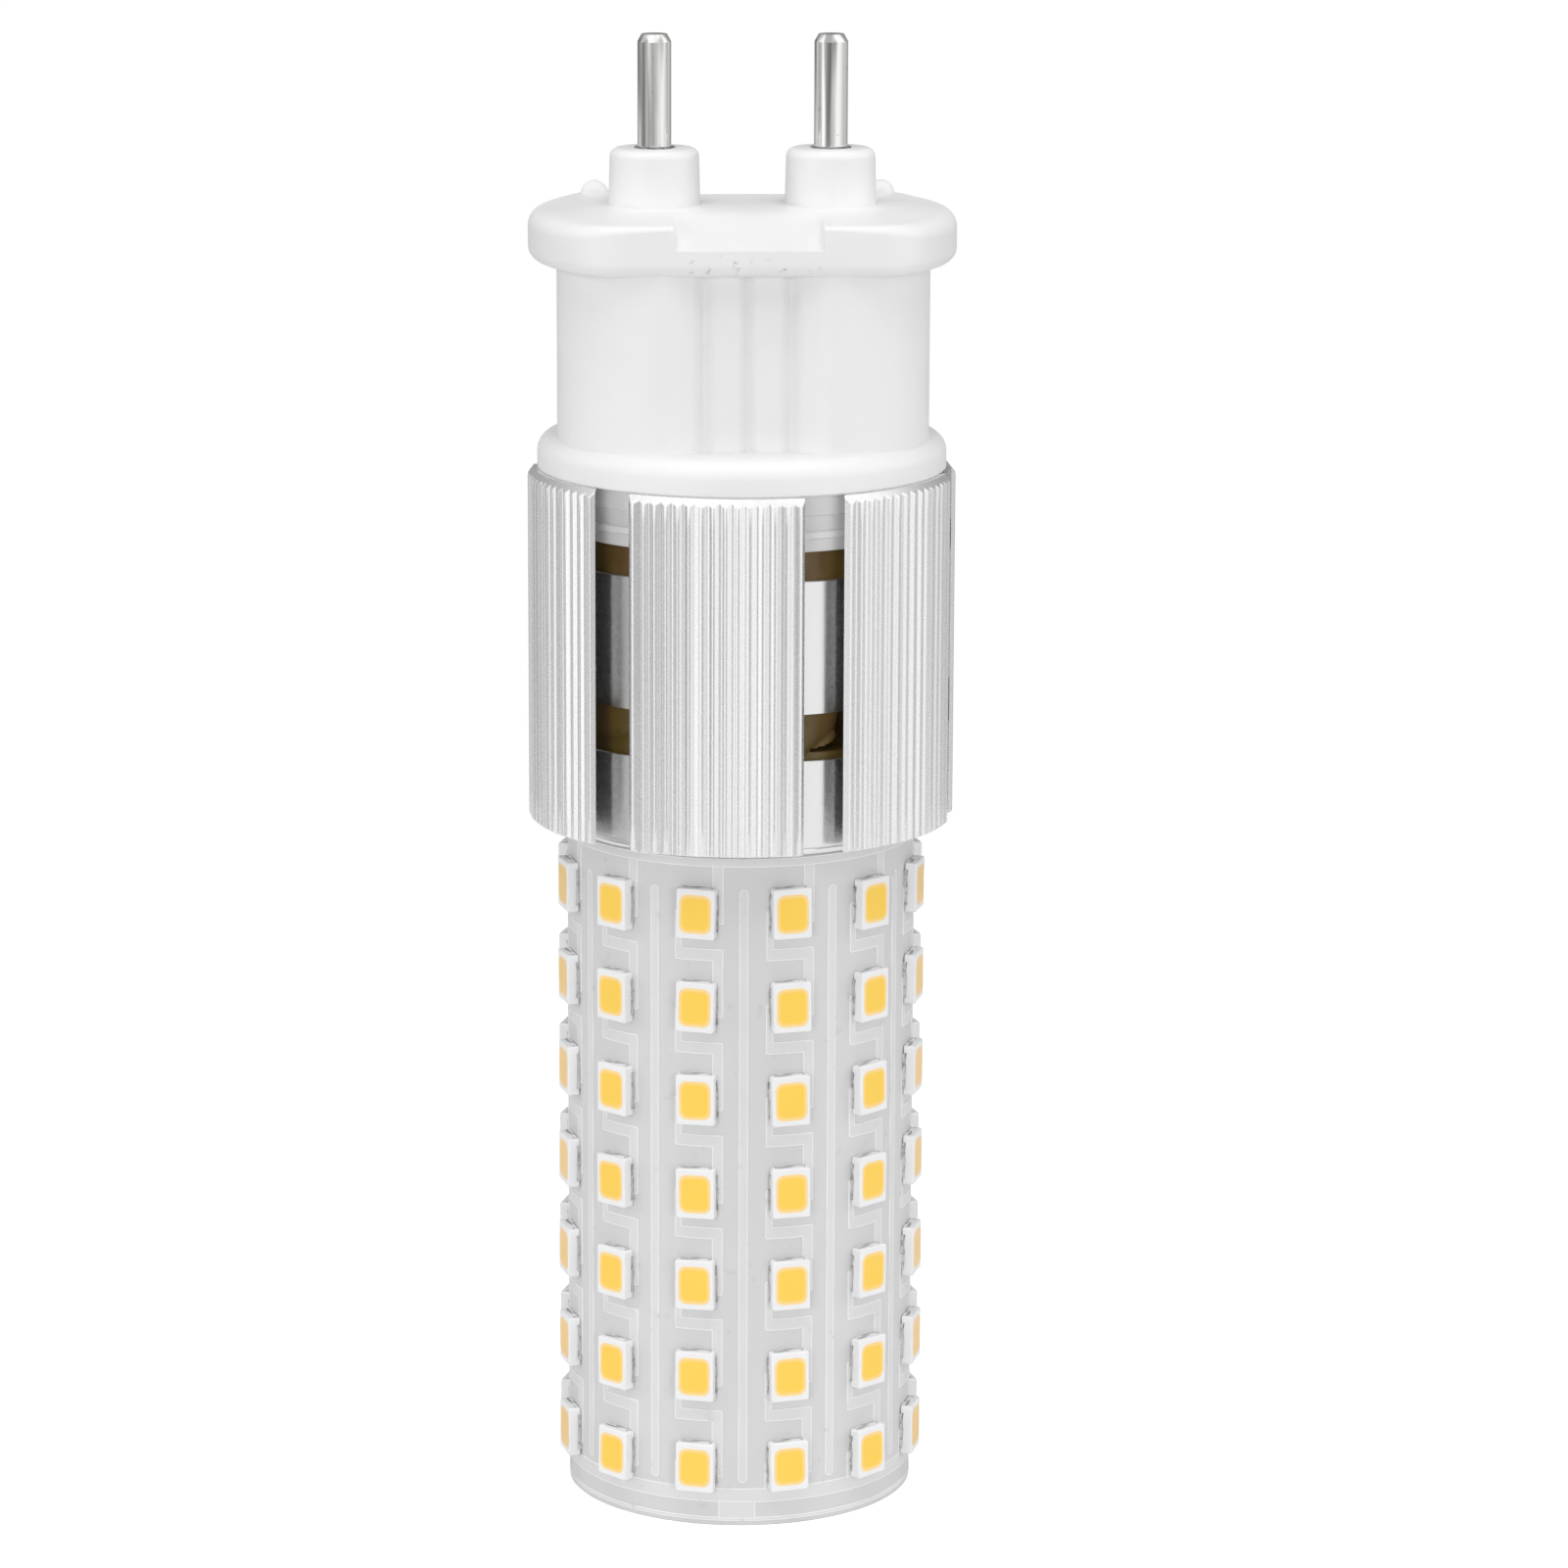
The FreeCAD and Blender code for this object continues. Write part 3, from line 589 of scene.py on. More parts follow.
def mix_colours(tree, factor, first, second):
    """Mix of two colours, each a tuple or a socket."""
    made = node(tree, "ShaderNodeMix", data_type="RGBA")
    wire(tree, factor, made.inputs["Factor"])
    for label, item in (("A", first), ("B", second)):
        socket = [entry for entry in made.inputs if entry.name == label and entry.type == "RGBA"][0]
        feed(tree, item if isinstance(item, bpy.types.NodeSocket) else (*item[:3], 1.0), socket)
    return [entry for entry in made.outputs if entry.type == "RGBA"][0]


def place_group(tree, group, vector, **values):
    """Node of a shader group, with its values."""
    made = node(tree, "ShaderNodeGroup")
    made.node_tree = group
    wire(tree, vector, made.inputs["Vector"])
    for key, value in values.items():
        made.inputs[key].default_value = value
    return made


def grain_on(tree, vector, scale):
    """Fine grain in a material."""
    return place_group(tree, fine_grain_group(), vector, Scale=scale)


def scuffs_on(tree, vector, scale, level):
    """Mask of scuffs in a material: a lower level gives more of them."""
    return place_group(tree, scuff_group(), vector, Scale=scale, Level=level).outputs["Mask"]


def stretched(tree, vector, share):
    """Coordinates squeezed in height, so that a pattern on them runs upright."""
    made = node(tree, "ShaderNodeMapping")
    made.inputs["Scale"].default_value = (1.0, 1.0, share)
    wire(tree, vector, made.inputs["Vector"])
    return made.outputs["Vector"]


def vary_roughness(tree, shader, grain, smooth_level, rough_level):
    """Lets a grain carry the roughness from one level to another."""
    level = span_node(tree, grain, GRAIN_LOW, GRAIN_HIGH, smooth_level, rough_level)
    wire(tree, level, shader.inputs["Roughness"])


def bump(tree, shader, height, distance):
    """Feeds a height to the shader's normal."""
    made = node(tree, "ShaderNodeBump")
    made.inputs["Distance"].default_value = distance
    wire(tree, height, made.inputs["Height"])
    wire(tree, made.outputs["Normal"], shader.inputs["Normal"])


def darker(tint, share):
    """A tint scaled down or up."""
    return tuple(min(1.0, channel * share) for channel in tint)


def plain_finish(name, tint, roughness, metallic=0.0, grain=3000.0, depth=2e-6, scuff=0.85, level=0.70,
                 scuff_scale=600.0):
    """Finish with fine grain, a slight drift of tone and scattered scuffs."""
    material, tree, shader, vector = new_material(name)
    fine = grain_on(tree, vector, grain)
    drift = mix_colours(tree, fine.outputs["Value"], darker(tint, 0.965), darker(tint, 1.03))
    tone = mix_colours(tree, scuffs_on(tree, vector, scuff_scale, level), drift, darker(tint, scuff))
    wire(tree, tone, shader.inputs["Base Color"])
    vary_roughness(tree, shader, fine.outputs["Value"], roughness - 0.05, roughness + 0.05)
    shader.inputs["Metallic"].default_value = metallic
    bump(tree, shader, fine.outputs["Height"], depth)
    return material


def moulding_finish(tint, edge):
    """White moulded plastic, slightly silky, with small grey scuffs along the flange's front edge."""
    material, tree, shader, vector = new_material("white_moulding")
    fine = grain_on(tree, vector, 2200.0)
    drift = mix_colours(tree, fine.outputs["Value"], darker(tint, 0.975), darker(tint, 1.02))
    tone = mix_colours(tree, scuffs_on(tree, vector, 420.0, 0.70), drift, darker(tint, 0.9))
    parts = node(tree, "ShaderNodeSeparateXYZ")
    wire(tree, vector, parts.inputs["Vector"])
    aside = math_node(tree, "ABSOLUTE", parts.outputs["X"])
    away = math_node(tree, "ABSOLUTE", math_node(tree, "SUBTRACT", parts.outputs["Z"], edge))
    worn = scuffs_on(tree, vector, 1700.0, 0.60)
    for place, near, far in ((aside, 3.5, 5.5), (parts.outputs["Y"], -10.8, -9.8), (away, 0.2, 0.9)):
        worn = math_node(tree, "MULTIPLY", worn, span_node(tree, place, near * MM, far * MM, 1.0, 0.0))
    wire(tree, mix_colours(tree, worn, tone, darker(tint, 0.62)), shader.inputs["Base Color"])
    vary_roughness(tree, shader, fine.outputs["Value"], 0.40, 0.50)
    bump(tree, shader, fine.outputs["Height"], 4e-6)
    return material


def plating_finish(tint):
    """Bright plating with upright wipe marks and dark drawn streaks."""
    material, tree, shader, vector = new_material("pin_plating")
    upright = stretched(tree, vector, 0.06)
    wipes = grain_on(tree, upright, 2500.0)
    waves = grain_on(tree, upright, 900.0)
    streak = span_node(tree, noise_node(tree, upright, 1100.0, 1.0).outputs["Fac"], 0.36, 0.48)
    drawn = mix_colours(tree, streak, darker(tint, 0.45), darker(tint, 1.12))
    tone = mix_colours(tree, scuffs_on(tree, vector, 1500.0, 0.66), drawn, darker(tint, 0.7))
    wire(tree, tone, shader.inputs["Base Color"])
    vary_roughness(tree, shader, wipes.outputs["Height"], 0.08, 0.16)
    shader.inputs["Metallic"].default_value = 1.0
    fine = math_node(tree, "MULTIPLY", wipes.outputs["Height"], 0.15)
    bump(tree, shader, math_node(tree, "ADD", waves.outputs["Height"], fine), 2e-5)
    return material


def ribbed_finish(tint):
    """Matte drawn aluminium with a fine sparkle and faint upright drawing lines."""
    material, tree, shader, vector = new_material("ribbed_aluminium")
    sparkle = grain_on(tree, vector, 5000.0)
    lines = grain_on(tree, stretched(tree, vector, 0.02), 2600.0)
    drift = mix_colours(tree, lines.outputs["Height"], darker(tint, 0.94), darker(tint, 1.05))
    tone = mix_colours(tree, scuffs_on(tree, vector, 420.0, 0.765), drift, darker(tint, 0.6))
    wire(tree, tone, shader.inputs["Base Color"])
    vary_roughness(tree, shader, sparkle.outputs["Height"], 0.25, 0.28)
    shader.inputs["Metallic"].default_value = 0.85
    fleck = math_node(tree, "MULTIPLY", sparkle.outputs["Height"], 0.07)
    bump(tree, shader, math_node(tree, "ADD", fleck, lines.outputs["Height"]), 3.5e-6)
    return material


def tube_finish(tint):
    """Bright drawn tube with an orange-peel skin."""
    material, tree, shader, vector = new_material("bright_tube")
    peel = grain_on(tree, stretched(tree, vector, 0.15), 1600.0)
    tone = mix_colours(tree, scuffs_on(tree, vector, 900.0, 0.68), darker(tint, 0.92), darker(tint, 0.55))
    wire(tree, tone, shader.inputs["Base Color"])
    vary_roughness(tree, shader, peel.outputs["Value"], 0.19, 0.26)
    shader.inputs["Metallic"].default_value = 1.0
    bump(tree, shader, peel.outputs["Height"], 5e-6)
    return material


def film_finish():
    """Glossy film that drifts between brown and olive."""
    material, tree, shader, vector = new_material("amber_film")
    stains = grain_on(tree, vector, 500.0)
    brown = mix_colours(tree, stains.outputs["Height"], (0.085, 0.048, 0.016), (0.20, 0.118, 0.042))
    olive = mix_colours(tree, stains.outputs["Height"], (0.080, 0.054, 0.012), (0.19, 0.130, 0.034))
    drift = span_node(tree, stains.outputs["Value"], 0.42, 0.58)
    wire(tree, mix_colours(tree, drift, brown, olive), shader.inputs["Base Color"])
    vary_roughness(tree, shader, stains.outputs["Value"], 0.3, 0.42)
    bump(tree, shader, stains.outputs["Height"], 1e-5)
    return material


def track_finish(tint, pale):
    """Board lacquer over a track, paler along its edge: a painted highlight where the raised edge catches
    the light.
    """
    material, tree, shader, vector = new_material("board_track")
    rim = node(tree, "ShaderNodeAttribute", attribute_name="rim")
    fine = grain_on(tree, vector, 1500.0)
    # Painted highlight: the rim band along a track's edge takes the paler colour
    tone = mix_colours(tree, rim.outputs["Fac"], tint, pale)
    specked = mix_colours(tree, scuffs_on(tree, vector, 900.0, 0.62), tone, darker(tint, 0.93))
    wire(tree, specked, shader.inputs["Base Color"])
    vary_roughness(tree, shader, fine.outputs["Value"], 0.4, 0.5)
    bump(tree, shader, fine.outputs["Height"], 6e-6)
    return material


def solder_finish():
    """Dull solder, darkened by a painted shadow: fully on the strip along a housing's upper edge, a little
    on the side beads.
    """
    material, tree, shader, vector = new_material("solder_bead")
    soot = node(tree, "ShaderNodeAttribute", attribute_name="soot")
    fine = grain_on(tree, vector, 5000.0)
    tone = mix_colours(tree, scuffs_on(tree, vector, 2500.0, 0.52), (0.72, 0.72, 0.71), (0.42, 0.42, 0.42))
    # Painted shadow: where the attribute is high, the tone turns dark grey and stops being metallic.
    shadowed = mix_colours(tree, soot.outputs["Fac"], tone, (0.36, 0.36, 0.36))
    wire(tree, shadowed, shader.inputs["Base Color"])
    wire(tree, span_node(tree, soot.outputs["Fac"], 0.0, 1.0, 1.0, 0.0), shader.inputs["Metallic"])
    vary_roughness(tree, shader, fine.outputs["Value"], 0.3, 0.5)
    bump(tree, shader, fine.outputs["Height"], 2e-5)
    return material


def face_finish(sizes):
    """Yellow face of an LED: amber in the middle and paler towards its rim, with a painted sheen that pales
    it when seen at a slant.
    """
    material, tree, shader, vector = new_material("led_face")
    rim = node(tree, "ShaderNodeAttribute", attribute_name="rim")
    fine = grain_on(tree, vector, 2500.0)
    uneven = math_node(tree, "MULTIPLY", fine.outputs["Height"], 0.03)
    ramp = node(tree, "ShaderNodeValToRGB")
    wire(tree, math_node(tree, "ADD", rim.outputs["Fac"], uneven), ramp.inputs["Fac"])
    set_stops(ramp, ((0.70, sizes.centre), (0.90, sizes.rim), (1.0, sizes.housing)))
    # Painted sheen: a paler colour mixed in as the face turns away from the view
    slant = node(tree, "ShaderNodeLayerWeight")
    haze = span_node(tree, slant.outputs["Facing"], 0.45, 0.90, 0.0, 0.8)
    tone = mix_colours(tree, haze, ramp.outputs["Color"], tuple(sizes.haze))
    wire(tree, tone, shader.inputs["Base Color"])
    vary_roughness(tree, shader, fine.outputs["Value"], 0.34, 0.46)
    bump(tree, shader, fine.outputs["Height"], 4e-6)
    return material


class CORNLAMP_OT_base(bpy.types.Operator):
    """Models the white base: spigot, collar, grooved waist, flange, bosses and domes"""

    bl_idname = "cornlamp.base"
    bl_label = "Base moulding"

    def execute(self, context):
        sizes = context.scene.lamp_base
        parts = [self.collar(sizes), self.waist(sizes), self.flange(sizes)]
        parts += self.bosses(sizes, context.scene.lamp_pins.spacing / 2)
        base = shade(join(parts, "base_moulding"))
        scuffed = BASE_TOP - sizes.boss_height - sizes.flange_height + 0.8 * MM
        hand_over(base, moulding_finish(tuple(sizes.plastic), scuffed), "base_white", "base_shell")
        return {"FINISHED"}

    def collar(self, sizes):
        """Collar with a round upper edge, on a spigot with two low rings."""
        spigot = sizes.spigot_diameter / 2
        rim = sizes.collar_diameter / 2
        top = SINK_TOP + sizes.collar_height
        foot = BASE_FOOT + sizes.spigot_lift
        edge = 0.12 * MM
        neck = SPIGOT_STEPS[-1][1] * MM
        profile = [(0.0, foot), (spigot - 0.35 * MM, foot)]
        profile += [(spigot - inset * MM, foot + level * MM) for level, inset in SPIGOT_STEPS]
        profile += [(spigot - neck, SINK_TOP), (rim - edge, SINK_TOP), (rim, SINK_TOP + edge)]
        profile += round_corner(rim, top, sizes.collar_round)
        profile.append((0.0, top))
        return add_turned("collar", profile, LARGE_ROUND)

    def waist(self, sizes):
        """Waist with four round lobes and a soft grooved recess front and back."""
        sunk = 0.2 * MM
        tucked = 1.2 * MM
        foot = SINK_TOP + sizes.collar_height - sunk
        top = foot + sizes.waist_height + tucked
        half_width = sizes.waist_width / 2
        half_depth = sizes.waist_depth / 2
        radius = sizes.lobe_radius
        flat = half_width - radius
        facing = 0.7 * half_depth
        quarter = [(half_width, y) for y in even(0.0, half_depth - radius, 4)]
        for angle in even(0.0, math.pi / 2, 24)[1:]:
            quarter.append((flat + radius * math.cos(angle), half_depth - radius + radius * math.sin(angle)))
        quarter += [(x, half_depth) for x in even(flat, 0.0, 90)[1:]]
        quarter = [(x, y - self.hollow(sizes, x) if y > facing else y) for x, y in quarter]
        points = mirrored(quarter)
        return add_stacked("waist", [[(x, y, level) for x, y in points] for level in (foot, top)])

    def hollow(self, sizes, x):
        """Depth of the recess and its three grooves at a place across the front."""
        soft = 0.8 * MM
        outer = sizes.recess_mouth / 2 + soft
        inner = sizes.recess_floor / 2 - soft
        depth = sizes.recess_depth * smooth((outer - abs(x)) / (outer - inner))
        for index in (-1, 0, 1):
            reach = abs(x - index * sizes.groove_pitch) / (sizes.groove_width / 2)
            if reach < 1.0:
                depth += sizes.groove_depth * (1.0 - math.sin(math.pi / 2 * reach))
        return depth

    def outline(self, sizes):
        """Outline of the flange: bowed ends, round corners, straight front and back."""
        end = sizes.flange_end_radius
        corner = sizes.flange_corner_radius
        end_x = sizes.flange_width / 2 - end
        corner_y = sizes.flange_depth / 2 - corner
        reach = math.sqrt((end - corner) ** 2 - corner_y ** 2)
        corner_x = end_x + reach
        slope = math.atan2(corner_y, reach)
        quarter = [(end_x + end * math.cos(angle), end * math.sin(angle)) for angle in even(0.0, slope, 10)]
        for angle in even(slope, math.pi / 2, 10)[1:]:
            quarter.append((corner_x + corner * math.cos(angle), corner_y + corner * math.sin(angle)))
        quarter += [(x, corner_y + corner) for x in even(corner_x, 0.0, 3)[1:]]
        return mirrored(quarter)

    def flange(self, sizes):
        """Flange in rings: flat below, round edges, a shallow hipped top, then a ramp cut front and back."""
        points = self.outline(sizes)
        top = BASE_TOP - sizes.boss_height
        foot = top - sizes.flange_height
        tight = 6.5 * MM
        inward = []
        for index in range(len(points)):
            before, after = Vector(points[index - 1]), Vector(points[(index + 1) % len(points)])
            along = (after - before).normalized()
            inward.append(Vector((-along.y, along.x)))

        def crown(place):
            end = max(0.0, abs(place.x) - sizes.flange_width / 2 + sizes.end_run) / sizes.end_run
            front = max(0.0, abs(place.y) - sizes.flange_depth / 2 + sizes.front_run) / sizes.front_run
            return top - sizes.end_drop * end - sizes.front_drop * front

        def bend(x):
            share = min(1.0, max(0.0, (abs(x) - tight) / tight))
            return sizes.edge_round + (sizes.end_round - sizes.edge_round) * share

        def under(angle):
            inset = sizes.lower_round * (1.0 - math.cos(angle))
            level = foot + sizes.lower_round - sizes.lower_round * math.sin(angle)
            return [(*(Vector(point) + way * inset), level) for point, way in zip(points, inward)]

        def over(angle, shrink=1.0):
            ring = []
            for point, way in zip(points, inward):
                radius = bend(point[0])
                inset = radius * (1.0 - math.cos(angle))
                place = (Vector(point) + way * inset) * shrink
                ring.append((*place, crown(place) - radius + radius * math.sin(angle)))
            return ring

        rings = [under(angle) for angle in even(math.pi / 2, 0.0, 7)]
        rings += [over(angle) for angle in even(0.0, math.pi / 2, 7)]
        rings += [over(math.pi / 2, shrink) for shrink in (0.85, 0.65, 0.4, 0.15)]
        flange = add_stacked("flange", rings)
        for side in (-1, 1):
            cut_away(flange, self.ramp(sizes, side, top))
        close_shell(flange)
        pick(flange, "FACE", always)
        bpy.ops.mesh.quads_convert_to_tris(quad_method="BEAUTY", ngon_method="BEAUTY")
        object_mode()
        return close_shell(flange)

    def ramp(self, sizes, side, top):
        """Cutter of the ramp: a block whose lower face falls outwards."""
        half = sizes.notch_width / 2
        edge = sizes.flange_depth / 2
        low, high = sorted((side * (edge - sizes.notch_run), side * (edge + sizes.notch_run)))
        cutter = add_box("ramp", (-half, low, top), (half, high, top + 2 * MM))
        pick(cutter, "VERT", lambda vertex: vertex.co.z < top + MM and vertex.co.y * side > edge)
        bpy.ops.transform.translate(value=(0.0, 0.0, -2 * sizes.notch_drop))
        object_mode()
        return cutter

    def bosses(self, sizes, offset):
        """Two pin bosses, slightly tapered, and two small domes."""
        rim = sizes.boss_diameter / 2
        top = BASE_TOP - sizes.boss_height
        boss = [(rim + 0.05 * MM, top - MM)]
        boss += round_corner(rim - 0.06 * MM, BASE_TOP, sizes.boss_round)
        boss.append((0.0, BASE_TOP))
        ball = sizes.dome_diameter / 2
        level = top - sizes.front_drop
        dome = [(ball, level - 0.4 * MM)] + round_corner(ball, level + ball, ball)
        parts = []
        for side in (-1, 1):
            parts.append(add_turned("boss", boss, 64, (side * offset, 0.0)))
            parts.append(add_turned("dome", dome, 32, (side * sizes.dome_offset, sizes.dome_setback)))
        return parts


class CORNLAMP_OT_pins(bpy.types.Operator):
    """Models the two contact pins, each with a rough ring at its foot"""

    bl_idname = "cornlamp.pins"
    bl_label = "Contact pins"

    def execute(self, context):
        sizes = context.scene.lamp_pins
        bright = plating_finish(tuple(sizes.plating))
        worn = plain_finish("worn_plating", darker(sizes.plating, 0.42), 0.55, metallic=0.5, grain=6000.0,
                            depth=3e-5, scuff=0.4, level=0.5, scuff_scale=3000.0)
        for side, name in ((-1, "left"), (1, "right")):
            place = (side * sizes.spacing / 2, 0.0)
            pin = shade(add_turned(f"pin_{name}", self.shaft(sizes), 64, place), 28.0)
            hand_over(pin, bright, "pin_metal", f"contact_pin_{name}")
            ring = add_turned(f"pin_foot_{name}", self.burr(sizes), 40, place)
            self.roughen(ring, place, 11 + side)
            hand_over(shade(ring, 40.0), worn, "pin_metal", f"contact_pin_{name}")
        return {"FINISHED"}

    def shaft(self, sizes):
        """Profile of a pin: a straight side, a sloped edge with soft corners, and a flat tip."""
        radius = sizes.diameter / 2
        tip = radius - sizes.tip_chamfer
        edge = PIN_TOP - sizes.tip_height
        soft = 0.02 * MM
        return [(radius, BASE_TOP - 2 * MM), (radius, edge - soft), (radius - 0.015 * MM, edge + soft),
                (tip + 0.01 * MM, PIN_TOP - soft), (tip - soft, PIN_TOP), (0.0, PIN_TOP)]

    def burr(self, sizes):
        """Profile of the rough ring, which rises from its rim to the pin."""
        inner = sizes.diameter / 2 - 0.1 * MM
        outer = sizes.shoulder / 2
        foot = BASE_TOP - 0.1 * MM
        return [(inner, foot), (outer, foot), (outer, BASE_TOP + 0.01 * MM),
                (outer - 0.12 * MM, BASE_TOP + 0.08 * MM), (inner, BASE_TOP + 0.16 * MM)]

    def roughen(self, ring, place, seed):
        """Uneven outer edge, as left by pressing."""
        smooth_part = 1.3 * MM
        draw = random.Random(seed)
        reach = {}
        for vertex in ring.data.vertices:
            away = Vector((vertex.co.x - place[0], vertex.co.y - place[1], 0.0))
            key = round(math.degrees(math.atan2(away.y, away.x)))
            reach.setdefault(key, draw.uniform(-0.16, 0.0) * MM)
            if away.length > smooth_part:
                vertex.co += away.normalized() * reach[key]


class CORNLAMP_OT_sink(bpy.types.Operator):
    """Models the heat sink: six ribbed plates on webs, the bright core, the tube and its shoulder"""

    bl_idname = "cornlamp.sink"
    bl_label = "Heat sink"

    def execute(self, context):
        sizes = context.scene.lamp_sink
        ribbed = ribbed_finish(tuple(sizes.aluminium))
        pattern = self.plate(sizes)
        for index, place in enumerate(self.turns(sizes)):
            plate = shade(copy_of(pattern, f"sink_plate_{index + 1}", place), 25.0)
            hand_over(plate, ribbed, "sink_aluminium", "heat_sink")
        discard(pattern)
        bright = tube_finish(tuple(sizes.aluminium))
        hand_over(shade(self.tube(sizes), 30.0), bright, "sink_aluminium", "heat_sink")
        hand_over(shade(self.webs(sizes), 30.0), ribbed, "sink_aluminium", "heat_sink")
        return {"FINISHED"}

    def turns(self, sizes):
        """Turn of each plate from the front, midway between two gaps."""
        step = 2 * math.pi / sizes.plates
        angles = [sizes.gap_turn + step * (index + 0.5) for index in range(sizes.plates)]
        return [Matrix.Rotation(angle, 4, "Z") for angle in angles]

    def ribs(self, sizes, width):
        """Places across a plate, each with how high its rib stands there: 0 in a groove, 1 on a crest."""
        pitch = width / sizes.ribs
        wave = [(share, 0.5 - 0.5 * math.cos(2 * math.pi * share)) for share in even(0.0, 1.0, 12)[:-1]]
        draw = random.Random(21)
        places = []
        for rib in range(sizes.ribs):
            lean = draw.uniform(-0.15, 0.15)
            floor = draw.uniform(0.0, 0.3)
            shift = draw.uniform(-0.03, 0.03)
            for share, crest in wave:
                x = -width / 2 + pitch * (rib + share + (shift if share else 0.0))
                height = crest + floor * (1.0 - crest) - abs(lean) * crest + lean * crest * (2 * share - 1)
                places.append((x, height))
        places.append((width / 2, 0.0))
        for border in (0.12 * MM, 0.24 * MM):
            places += [(-width / 2 + border, 1.0), (width / 2 - border, 1.0)]
        return sorted(places)

    def plate(self, sizes):
        """One ribbed plate at the front: a flat sheet ribbed, thickened, then rolled."""
        width = SINK_RADIUS * (2 * math.pi / sizes.plates - sizes.gap_angle)
        foot = SINK_TOP - sizes.plate_length
        plain = 2 * MM
        places = self.ribs(sizes, width)
        zs = [foot + sizes.foot_run * share for share in (0.0, 0.5, 1.0)]
        zs += even(foot + plain, SINK_TOP - plain, 6)
        zs += [SINK_TOP - sizes.lip_run * share for share in (1.0, 0.9, 0.75, 0.6, 0.45, 0.3, 0.15, 0.0)]
        sheet = add_sheet("plate", [x for x, height in places], zs)
        for vertex in sheet.data.vertices:
            height = min(places, key=lambda entry: abs(entry[0] - vertex.co.x))[1]
            groove = sizes.rib_depth * (1.0 - height)
            lip = sizes.lip_drop * (1.0 - (SINK_TOP - vertex.co.z) / sizes.lip_run)
            heel = sizes.foot_run * (1.0 - (vertex.co.z - foot) / sizes.foot_run)
            side = sizes.side_run - (width / 2 - abs(vertex.co.x))
            vertex.co.y = max(groove, lip, heel, side, 0.0)
        self.thicken(sheet, sizes.plate_thickness, 1.0 - 2 * sizes.undercut / width)
        wrap_round(sheet, SINK_RADIUS)
        return close_shell(sheet)

    def thicken(self, sheet, thickness, narrowing):
        """Adds a flat, narrower back to a sheet, and walls between the two."""
        pick(sheet, "FACE", always)
        bpy.ops.mesh.duplicate()
        mesh = bmesh.from_edit_mesh(sheet.data)
        for vertex in mesh.verts:
            if vertex.select:
                vertex.co.y = thickness
                vertex.co.x *= narrowing
        bmesh.update_edit_mesh(sheet.data)
        bpy.ops.mesh.flip_normals()
        pick(sheet, "EDGE", lambda edge: edge.is_boundary)
        bpy.ops.mesh.bridge_edge_loops()
        object_mode()

    def tube(self, sizes):
        """Tube below the plates, the core behind them, open all round in two bands, and the shoulder."""
        foot = SINK_TOP - sizes.plate_length
        sill = foot + sizes.window_rise
        lintel = sill + sizes.window_height
        notch = SINK_TOP - sizes.notch_depth
        radius = sizes.tube_diameter / 2
        bore = radius - sizes.tube_wall
        core = sizes.core_diameter / 2
        hollow = core - sizes.core_wall
        edge = 0.06 * MM
        low = foot + edge
        tube = [(radius, 0.0), (radius, foot), (bore, foot), (bore, 0.0), (radius, 0.0)]
        cup = [(core - edge, low), (core, low + edge), (core, sill - edge), (core - edge, sill)]
        cup += [(hollow, sill), (hollow, foot + MM), (bore, foot + MM), (bore, low), (core - edge, low)]
        band = [(core, lintel), (core, notch - edge), (core - edge, notch), (hollow, notch)]
        band += [(hollow, lintel), (core, lintel)]
        shells = [add_turned("tube", tube, 96), add_turned("cup", cup, LARGE_ROUND)]
        shells += [add_turned("band", band, LARGE_ROUND), self.shoulder(sizes)]
        return join(shells, "sink_tube")

    def shoulder(self, sizes):
        """Ring with a round edge between the board and the plates."""
        rim = BOARD_RADIUS + sizes.shoulder_overhang
        inset = 0.2 * MM
        bend = 0.22 * MM
        half = sizes.shoulder_height / 2
        inner = sizes.tube_diameter / 2 - inset
        ring = [(inner, BOARD_TOP), (rim - inset, BOARD_TOP)]
        for angle in even(-math.pi / 2, math.pi / 2, 8):
            way = (angle > 0) - (angle < 0)
            level = BOARD_TOP + half + way * (half - bend)
            ring.append((rim - bend + bend * math.cos(angle), level + bend * math.sin(angle)))
        ring.append((inner, BOARD_TOP + sizes.shoulder_height))
        return add_turned("shoulder", ring, LARGE_ROUND)

    def webs(self, sizes):
        """Webs that carry the plates, flared where they meet them."""
        near = sizes.core_diameter / 2 - 0.2 * MM
        far = SINK_RADIUS - sizes.plate_thickness * 0.6
        half = sizes.web_width / 2
        end = 0.1 * MM
        flare = 1.35
        foot = SINK_TOP - sizes.plate_length
        web = add_box("web", (-half, -far, foot + end), (half, -near, SINK_TOP - end))
        pick(web, "FACE", lambda face: face.normal.y < -0.9)
        bpy.ops.mesh.extrude_region_move(TRANSFORM_OT_translate={"value": (0.0, -0.01 * MM, 0.0)})
        bpy.ops.transform.resize(value=(flare, 1.0, 1.0))
        object_mode()
        round_edges(web, 0.12 * MM, 2, 40.0)
        copies = [copy_of(web, "web", place) for place in self.turns(sizes)]
        discard(web)
        return join(copies, "sink_webs")


